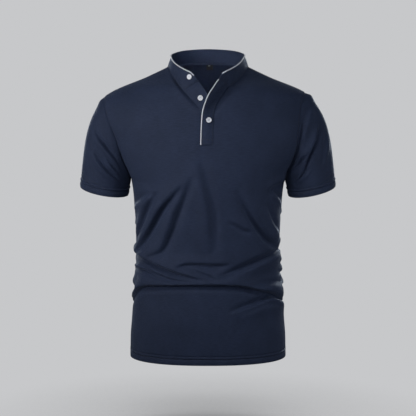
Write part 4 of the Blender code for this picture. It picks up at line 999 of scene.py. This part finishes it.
def lengths_along(line):
    """Distance along a line of points from its first."""
    return np.concatenate([[0.0], np.cumsum(np.linalg.norm(np.diff(line, axis=0), axis=1))])


def flat_of(points):
    """Metres across and along a sheet, from the middle row and column."""
    across, along = lengths_along(points[len(points) // 2]), lengths_along(points[:, points.shape[1] // 2])
    return np.stack(np.meshgrid(across, along), axis=-1)


seam, seam_way = (part[strip_rows, 0] for part in halves["front", "right"][:2])
free, free_way = free_edge(UNDER_PLACKET_EDGE)
under_points = strip_cloth(seam + np.array([SEAM_GAP, 0.0, 0.0]), seam_way, free, free_way, UNDER_BULGE)
under_points[0, :, 2] += SEAM_GAP
under_way = sheet_directions(under_points, FORWARDS)
under_points = fold_strip(under_points, under_way)

seam, seam_way = (part[strip_rows, 0] for part in halves["front", "left"][:2])
free, free_way = free_edge(OVER_PLACKET_EDGE)
over_points = strip_cloth(seam + seam_way * OVER_PROUD, seam_way, free + free_way * OVER_PROUD, free_way,
                          OVER_BULGE)
foot_x = over_points[0, :, 0]
foot_base, foot_way = front_surface(foot_x, np.full(len(foot_x), OVER_PLACKET_FOOT))
foot_steps = np.linspace(0.0, 1.0, FOOT_ROWS + 1)[:-1, None, None]
foot = (foot_base + foot_way * FOOT_PROUD)[None] * (1 - foot_steps) + over_points[:1] * foot_steps
over_points = np.concatenate([foot, over_points])
over_way = sheet_directions(over_points, FORWARDS)
over_points = fold_strip(over_points, over_way)
from_seam = np.linalg.norm(over_points - over_points[:, :1], axis=-1)
over_points -= over_way * (OVER_PROUD * np.exp(-(from_seam / SEAM_BLEND) ** 2))[..., None]
over_way = sheet_directions(over_points, FORWARDS)

for name, strip_points, strip_flat, strip_area in (
        ("placket_under", under_points, (0.039, 0.149), 0.00415),
        ("placket_over", over_points, (0.041, 0.153), 0.0045)):
    order = slice(None, None, -1) if strip_points[0, 0, 0] > strip_points[0, -1, 0] else slice(None)
    strip_points = strip_points[:, order]
    strip = lay_sheet(name + "_cloth", strip_points, flat_of(strip_points), PLACKET_THICKNESS)
    strip.data.materials.append(navy_knit)
    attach(strip, "root")
    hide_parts(name)


# ------------------------------------------------------------------------------
# Collar: a band that stands up from the neck seam, doubled and stiffened, its two front ends meeting the
# placket. It carries the top button.
COLLAR_THICKNESS = 0.0018
COLLAR_ROWS = 14
COLLAR_BULGE = 0.0010       # how far the band is rounded outwards at half its height
COLLAR_CLEAR = 1.5 * SEAM_GAP   # height of the band's lowest visible row above the neck seam
# Rows tucked into the neck seam, from the raw edge up: depth behind the band, depth below its foot
TUCKED_ROWS = ((0.0024, 0.0024), (0.0023, 0.0014), (0.0018, 0.0004), (0.0008, 0.0))
# Top edge: share of the length from its front end to the centre back, x without sign, y, height
COLLAR_TOP = {
    "right": [(0.0, 0.0300, -0.0850, -0.0130), (0.065, 0.0385, -0.0770, -0.0060),
              (0.127, 0.0475, -0.0680, -0.0025), (0.218, 0.0600, -0.0530, 0.0035),
              (0.325, 0.0710, -0.0340, 0.0110), (0.408, 0.0767, -0.0180, 0.0175),
              (0.500, 0.0785, -0.0010, 0.0245), (0.633, 0.0715, 0.0240, 0.0290),
              (0.766, 0.0500, 0.0410, 0.0338), (1.0, 0.0, 0.0520, 0.0362),
              (1.234, -0.0500, 0.0410, 0.0338)],
    "left": [(0.0, 0.0300, -0.0880, -0.0090), (0.065, 0.0385, -0.0790, -0.0045),
             (0.127, 0.0475, -0.0690, -0.0005), (0.218, 0.0605, -0.0530, 0.0065),
             (0.325, 0.0700, -0.0340, 0.0140), (0.408, 0.0750, -0.0180, 0.0205),
             (0.500, 0.0780, -0.0010, 0.0255), (0.633, 0.0715, 0.0240, 0.0295),
             (0.766, 0.0500, 0.0410, 0.0338), (1.0, 0.0, 0.0520, 0.0362), (1.234, -0.0500, 0.0410, 0.0338)],
}
ALL_ROUND = np.array([1.0, 1.0, 0.0])


def collar_edge(side, share):
    """Points of the collar's top edge, at shares of the way from its front end to the centre back."""
    x, y, height = (between(COLLAR_TOP[side], column, share) for column in (1, 2, 3))
    return np.stack([SIDE_SIGN[side] * x, y, height], axis=1)


right_neck, left_neck = (halves["front", side][0][strip_rows.stop:, 0] for side in SIDE_SIGN)
collar_foot = np.concatenate(
    [under_points[-1, ::-1], right_neck, back_neck_line[1:-1], left_neck[::-1], over_points[-1]])
foot_lengths = lengths_along(collar_foot)
centre_back = PLACKET_COLUMNS + len(right_neck) + BACK_NECK_COLUMNS // 2
from_right = foot_lengths / foot_lengths[centre_back]
from_left = (foot_lengths[-1] - foot_lengths) / (foot_lengths[-1] - foot_lengths[centre_back])
on_right = np.arange(len(foot_lengths)) <= centre_back
collar_top = np.where(on_right[:, None], collar_edge("right", from_right), collar_edge("left", from_left))
collar_rise = unit(collar_top - collar_foot)
band_share = np.linspace(0.0, 1.0, COLLAR_ROWS + 1)[:, None, None]
collar_points = (collar_foot + collar_rise * COLLAR_CLEAR) * (1 - band_share) + collar_top * band_share
collar_way = sheet_directions(collar_points, collar_points * ALL_ROUND)
collar_points += collar_way * COLLAR_BULGE * 4.0 * band_share * (1 - band_share)
tucked = [collar_points[0] - collar_way[0] * inset - collar_rise * drop for inset, drop in TUCKED_ROWS]
collar_points = np.concatenate([np.stack(tucked), collar_points])
collar_out = sheet_directions(collar_points, collar_points * ALL_ROUND)
collar = lay_sheet("collar_cloth", collar_points[:, ::-1], flat_of(collar_points), COLLAR_THICKNESS)
collar.data.materials.append(navy_knit)
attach(collar, "root")
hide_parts("collar_band")


# ------------------------------------------------------------------------------
# Piping: a thin cord in a pale woven casing, sewn along the top edge of the collar and down the over strip's
# free edge.
PIPING_RADIUS = 0.00115
PIPING_CLEAR = 0.0002
COLLAR_CORD_DROP = 1.4      # radii from the collar's top edge down to the cord's middle
STRIP_CORD_OUT = 0.8        # radii from the strip's free edge out to the cord's middle
CORD_ROUNDNESS = 3          # resolution of the round section
PIPING = (0.60, 0.63, 0.70)
GRAIN_STRENGTH = 0.6


def plain_material(name, colour, roughness, grain, depth):
    """A plain material with a fine raised grain: its size is in grains to the metre."""
    material = bpy.data.materials.new(name)
    material.use_nodes = True
    tree = material.node_tree
    shader = tree.nodes["Principled BSDF"]
    shader.inputs["Base Color"].default_value = (*colour, 1.0)
    shader.inputs["Roughness"].default_value = roughness
    place = add_node(tree, "ShaderNodeTexCoord")
    noise = add_node(tree, "ShaderNodeTexNoise", Scale=grain, Vector=place.outputs["Object"])
    bump = add_node(tree, "ShaderNodeBump", Distance=depth, Strength=GRAIN_STRENGTH,
                    Height=noise.outputs["Fac"])
    feed(tree, shader.inputs["Normal"], bump.outputs["Normal"])
    return material


def lay_cord(name, path, radius):
    """A round cord along a path, its ends capped."""
    bpy.ops.object.select_all(action="DESELECT")
    bpy.ops.curve.primitive_nurbs_path_add(location=(0.0, 0.0, 0.0))
    cord = bpy.context.object
    cord.name = cord.data.name = name
    cord.data.splines.clear()
    line = cord.data.splines.new("POLY")
    line.points.add(len(path) - 1)
    line.points.foreach_set("co", np.hstack([path, np.ones((len(path), 1))]).ravel())
    cord.data.bevel_depth = radius
    cord.data.bevel_resolution = CORD_ROUNDNESS
    cord.data.use_fill_caps = True
    bpy.ops.object.convert(target="MESH")
    bpy.ops.object.shade_smooth_by_angle(angle=SMOOTH_ANGLE)
    return bpy.context.object


pale_piping = plain_material("pale_piping", PIPING, 0.75, 2400.0, 0.0002)
collar_cord = (collar_points[-1] + collar_out[-1] * (PIPING_RADIUS + PIPING_CLEAR)
               - collar_rise * PIPING_RADIUS * COLLAR_CORD_DROP)
strip_edge_away = unit(over_points[:, -1] - over_points[:, -2])
placket_cord = (over_points[:, -1] + strip_edge_away * PIPING_RADIUS * STRIP_CORD_OUT
                - over_way[:, -1] * PIPING_CLEAR)
for name, path in (("collar_piping", collar_cord), ("placket_piping", placket_cord)):
    path = along_curve(path, np.linspace(0.0, len(path) - 1.0, 2 * len(path)))
    cord = lay_cord(name + "_cord", path, PIPING_RADIUS)
    cord.data.materials.append(pale_piping)
    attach(cord, "root")
    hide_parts(name)


# ------------------------------------------------------------------------------
# Buttons: three turned white buttons with a dished face and four holes, sewn on with pale thread. One sits on
# the collar's right end, one on the under strip and one on the over strip.
BUTTON_RADIUS = 0.00575
BUTTON_THICKNESS = 0.0026
BUTTON_RIM = 0.20 * BUTTON_RADIUS
BUTTON_SLOPE = 0.14 * BUTTON_RADIUS     # width of the slope from the rim down to the dish
BUTTON_DISH = 0.0010
BUTTON_BEVEL = 0.32 * BUTTON_THICKNESS
BUTTON_SMOOTH_ANGLE = math.radians(40.0)
BUTTON_PROUD = 0.0007       # height of its back above the cloth
BUTTON_SEAT = 0.004         # a button faces as the cloth does within about this distance
THREAD_HOLE_RADIUS = 0.0007
THREAD_HOLE_SPREAD = 0.0015
THREAD_RADIUS = 0.00028
THREAD_REACH = 1.15 * THREAD_HOLE_SPREAD
THREAD_FOOT = BUTTON_THICKNESS - BUTTON_DISH - 0.0006   # height of a thread's ends in the holes
THREAD_RISE = 0.0012
BUTTONS = {
    # name: x, height, and the points and directions of what carries it
    "button_collar": (-0.0389, -0.0185, collar_points, collar_out),
    "button_middle": (-0.0155, -0.0638, under_points, under_way),
    "button_lower": (0.0004, -0.1098, over_points, over_way),
}
white_plastic = plain_material("white_plastic", (0.70, 0.73, 0.80), 0.28, 300.0, 0.00005)
thread = plain_material("pale_thread", (0.45, 0.47, 0.53), 0.8, 3000.0, 0.0002)


def model_button():
    """One button at the origin, its back on the plane Z = 0 and its face up, with its thread."""
    bpy.ops.object.select_all(action="DESELECT")
    bpy.ops.mesh.primitive_cylinder_add(vertices=48, radius=BUTTON_RADIUS, depth=BUTTON_THICKNESS,
                                        location=(0.0, 0.0, BUTTON_THICKNESS / 2.0))
    button = bpy.context.object
    bpy.ops.object.transform_apply(location=True, rotation=False, scale=False)
    bpy.ops.object.mode_set(mode="EDIT")
    bpy.ops.mesh.select_all(action="DESELECT")
    for face in bmesh.from_edit_mesh(button.data).faces:
        face.select = face.normal.z > 0.9
    bpy.ops.mesh.inset(thickness=BUTTON_RIM, depth=0.0)
    bpy.ops.mesh.inset(thickness=BUTTON_SLOPE, depth=-BUTTON_DISH)
    bpy.ops.mesh.select_all(action="DESELECT")
    for edge in bmesh.from_edit_mesh(button.data).edges:
        on_rim = all(math.hypot(v.co.x, v.co.y) > BUTTON_RADIUS * 0.97 for v in edge.verts)
        edge.select = on_rim and abs(edge.verts[0].co.z - edge.verts[1].co.z) < 1e-6
    bpy.ops.mesh.bevel(offset=BUTTON_BEVEL, segments=4, affect="EDGES")
    bpy.ops.object.mode_set(mode="OBJECT")
    cutters = []
    for quarter in range(4):
        angle = math.radians(45.0 + 90.0 * quarter)
        place = (THREAD_HOLE_SPREAD * math.cos(angle), THREAD_HOLE_SPREAD * math.sin(angle), 0.0)
        bpy.ops.object.select_all(action="DESELECT")
        bpy.ops.mesh.primitive_cylinder_add(vertices=16, radius=THREAD_HOLE_RADIUS, location=place,
                                            depth=4.0 * BUTTON_THICKNESS)
        cutters.append(bpy.context.object)
    for cutter in cutters:
        bpy.ops.object.select_all(action="DESELECT")
        bpy.context.view_layer.objects.active = button
        button.select_set(True)
        hole = button.modifiers.new("hole", "BOOLEAN")
        hole.operation = "DIFFERENCE"
        hole.object = cutter
        bpy.ops.object.modifier_apply(modifier="hole")
        bpy.data.objects.remove(cutter, do_unlink=True)
    button.data.materials.append(white_plastic)
    button.data.materials.append(thread)
    bpy.ops.object.shade_smooth_by_angle(angle=BUTTON_SMOOTH_ANGLE)
    for turn in (math.radians(45.0), math.radians(135.0)):
        path = [(THREAD_REACH * math.cos(t) * math.cos(turn), THREAD_REACH * math.cos(t) * math.sin(turn),
                 THREAD_FOOT + THREAD_RISE * math.sin(t)) for t in np.linspace(0.0, math.pi, 13)]
        stitch = lay_cord("button_thread", np.array(path), THREAD_RADIUS)
        stitch.data.materials.append(white_plastic)
        stitch.data.materials.append(thread)
        stitch.data.polygons.foreach_set("material_index", [1] * len(stitch.data.polygons))
        bpy.ops.object.select_all(action="DESELECT")
        stitch.select_set(True)
        button.select_set(True)
        bpy.context.view_layer.objects.active = button
        bpy.ops.object.join()
    return button


pattern_button = model_button()
for name, (x, height, strip_points, strip_way) in BUTTONS.items():
    miss = np.hypot(strip_points[..., 0] - x, strip_points[..., 2] - height)
    row, column = np.unravel_index(np.argmin(miss), miss.shape)
    near = np.exp(-(miss / BUTTON_SEAT) ** 2)[..., None]
    facing = Vector((strip_way * near).sum(axis=(0, 1))).normalized()
    centre = Vector(strip_points[row, column]) + facing * BUTTON_PROUD
    across = (Vector((0.0, 0.0, 1.0)) - facing * facing.z).normalized()
    turn = Matrix((across.cross(facing), across, facing)).transposed().to_4x4()
    button = pattern_button.copy()
    button.data = pattern_button.data.copy()
    button.name = button.data.name = name + "_turned"
    button.data.transform(Matrix.Translation(centre) @ turn)
    bpy.context.scene.collection.objects.link(button)
    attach(button, "root")
    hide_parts(name)
bpy.data.objects.remove(pattern_button, do_unlink=True)


# ------------------------------------------------------------------------------
# Label: a small folded black woven tape, sewn into the neck seam at the centre back and hanging down inside.
# It bears only a plain pale bar.
LABEL_LEFT, LABEL_RIGHT, LABEL_TOP, LABEL_FOOT = -0.0030, 0.0106, 0.0030, -0.0090
BAR_LEFT, BAR_RIGHT, BAR_TOP, BAR_FOOT = 0.0008, 0.0044, 0.0010, -0.0012
LABEL_COLUMNS = 13
LABEL_ROWS = 11
LABEL_THICKNESS = 0.0005
LABEL_INSET = 0.0024        # distance from the outside of the back
LABEL_BOW = 0.0012          # how far its sides stand away from the back
label_x, label_z = np.meshgrid(np.linspace(LABEL_LEFT, LABEL_RIGHT, LABEL_COLUMNS),
                               np.linspace(LABEL_FOOT, LABEL_TOP, LABEL_ROWS))
label_base, label_way, _ = body_surface(np.abs(label_x), label_z, "left", "back")
label_base[..., 0] = label_x
label_points = label_base - label_way * LABEL_INSET
label_share = (label_x - LABEL_LEFT) / (LABEL_RIGHT - LABEL_LEFT)
label_points[..., 1] -= LABEL_BOW * (label_share - 0.5) ** 2 * 4.0
label = lay_sheet("neck_label_tape", label_points, flat_of(label_points), LABEL_THICKNESS)
label_black = plain_material("label_black", (0.012, 0.012, 0.014), 0.7, 2600.0, 0.0002)
label.data.materials.append(label_black)
label.data.materials.append(thread)
for face in label.data.polygons:
    inside = BAR_LEFT < face.center.x < BAR_RIGHT and BAR_FOOT < face.center.z < BAR_TOP
    face.material_index = 1 if inside and face.normal.y < 0.0 else 0
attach(label, "root")
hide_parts("neck_label")


# ------------------------------------------------------------------------------
# Sewing: dark navy polyester thread. A twin needle sews the hem and the cuffs, and single rows run beside the
# armholes and the shoulders and along the collar and the placket, whose foot is closed by a stitched box.
STITCH_LENGTH = 0.0030
STITCH_GAP = 0.0005
STITCH_RADIUS = 0.00034
STITCH_RISE = 0.4           # height of a stitch's middle above the cloth, in its radii
EDGE_ROW = 0.0030           # distance of the single rows from their seams
TOP_MARGIN = 3              # rows of the grid at the shoulder that the armhole's stitches leave out
SIDE_MARGIN = 4             # columns at the armhole that the shoulder's stitches leave out
BOX_HEIGHTS = (-0.1576, -0.1490)
STRIP_ROW = 1.3             # columns from the placket's edges to the rows of stitches
STRIP_ROW_END = 26          # rows of the grid up to which the one beside the seam runs
COLLAR_TOP_ROW = 2.2        # rows of the collar's grid, counted from its top, and from its tucked edge
COLLAR_FOOT_ROW = 4.9
navy_thread = plain_material("navy_thread", (0.012, 0.016, 0.032), 0.6, 3000.0, 0.0001)

bpy.ops.object.select_all(action="DESELECT")
bpy.ops.mesh.primitive_uv_sphere_add(segments=6, ring_count=4, radius=1.0)
pattern_stitch = bpy.context.object
stitch_corners = np.array([vertex.co for vertex in pattern_stitch.data.vertices])
stitch_faces = [list(face.vertices) for face in pattern_stitch.data.polygons]
bpy.data.objects.remove(pattern_stitch, do_unlink=True)


def on_row(points, outward, place):
    """Points and directions along a grid, at a place between two of its rows."""
    row = min(int(place), len(points) - 2)
    share = place - row
    return [part[row] * (1 - share) + part[row + 1] * share for part in (points, outward)]


def beside_seam(points, outward):
    """Points and directions of a single row of stitches beside the last column of a grid."""
    rows = []
    for line, ways, left in zip(points, outward, lengths_from_end(points, 1)):
        rows.append(on_row(line, ways, float(np.interp(-EDGE_ROW, -left, np.arange(len(left))))))
    return [np.array(part) for part in zip(*rows)]


def along_line(marks, lengths, line):
    """A line's values at some lengths along it."""
    return np.stack([np.interp(marks, lengths, line[:, axis]) for axis in range(3)], axis=1)


def sew(name, rows):
    """One piece of stitches along rows of points and directions, each a thin thread that dips at its ends."""
    corners, faces = [], []
    for points, outward in rows:
        lengths = lengths_along(points)
        marks = np.linspace(0.0, lengths[-1], max(1, int(lengths[-1] / STITCH_LENGTH)) + 1)
        holes = along_line(marks, lengths, points)
        up = along_line(0.5 * (marks[1:] + marks[:-1]), lengths, outward)
        ahead = np.diff(holes, axis=0)
        length = np.linalg.norm(ahead, axis=1, keepdims=True)
        ahead = ahead / length
        up = unit(up - ahead * (up * ahead).sum(axis=1, keepdims=True))
        beside = np.cross(up, ahead)
        centre = 0.5 * (holes[1:] + holes[:-1]) + up * STITCH_RADIUS * STITCH_RISE
        half_length = 0.5 * (length - STITCH_GAP)
        stitches = (centre[:, None] + (ahead * half_length)[:, None] * stitch_corners[None, :, 2:]
                    + beside[:, None] * stitch_corners[None, :, :1] * STITCH_RADIUS
                    + up[:, None] * stitch_corners[None, :, 1:2] * STITCH_RADIUS)
        for stitch in stitches:
            start = len(corners)
            corners += stitch.tolist()
            faces += [[corner + start for corner in face] for face in stitch_faces]
    mesh = bpy.data.meshes.new(name)
    mesh.from_pydata(corners, [], faces)
    mesh.materials.append(navy_thread)
    piece = bpy.data.objects.new(name, mesh)
    bpy.context.scene.collection.objects.link(piece)
    bpy.ops.object.select_all(action="DESELECT")
    piece.select_set(True)
    bpy.context.view_layer.objects.active = piece
    bpy.ops.object.shade_smooth()
    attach(piece, "root")


def hem_rows(points, outward, rises):
    """The two rows of the twin needle, from the heights of a grid's rows above its edge."""
    places = [HEM_ROWS + float(np.interp(needle, rises, np.arange(len(rises)))) for needle in HEM_NEEDLES]
    return [on_row(points, outward, place) for place in places]


def armhole_rows(face):
    """The rows beside the two armholes."""
    upper = slice(LOWER_ROWS - 1, -TOP_MARGIN)
    return [beside_seam(*(part[upper] for part in halves[face, side][:2])) for side in SIDE_SIGN]


def shoulder_rows(face):
    """The rows beside the two shoulder seams."""
    return [beside_seam(*(part[:, :-SIDE_MARGIN].swapaxes(0, 1) for part in halves[face, side][:2]))
            for side in SIDE_SIGN]


inside_seams = slice(len(TRIMMED), -len(TRIMMED))
front_hem = hem_rows(front_points[:, inside_seams], front_outward[:, inside_seams], HEM_RISE)
back_hem = hem_rows(back_points[:, inside_seams], back_outward[:, inside_seams], HEM_RISE)
sew("front_stitches", front_hem + armhole_rows("front"))
sew("back_stitches", back_hem + armhole_rows("back") + shoulder_rows("back"))
for name, (sleeve_points, sleeve_outward, sleeve_flat) in sleeve_grids.items():
    cuff_rise = sleeve_flat[HEM_ROWS:-len(TRIMMED), :, 1].mean(axis=1)
    sew(name + "_stitches", hem_rows(sleeve_points, sleeve_outward, cuff_rise))

middle_heights = over_points[:, PLACKET_COLUMNS // 2, 2]
box_places = np.interp(BOX_HEIGHTS, middle_heights, np.arange(len(middle_heights)))
over_columns = over_points.swapaxes(0, 1), over_way.swapaxes(0, 1)
sew("placket_stitches", [on_row(over_points, over_way, place) for place in box_places]
    + [on_row(*over_columns, PLACKET_COLUMNS - STRIP_ROW),
       [part[:STRIP_ROW_END] for part in on_row(*over_columns, STRIP_ROW)]])
sew("collar_stitches", [on_row(collar_points, collar_out, len(collar_points) - COLLAR_TOP_ROW),
                        on_row(collar_points, collar_out, COLLAR_FOOT_ROW)])
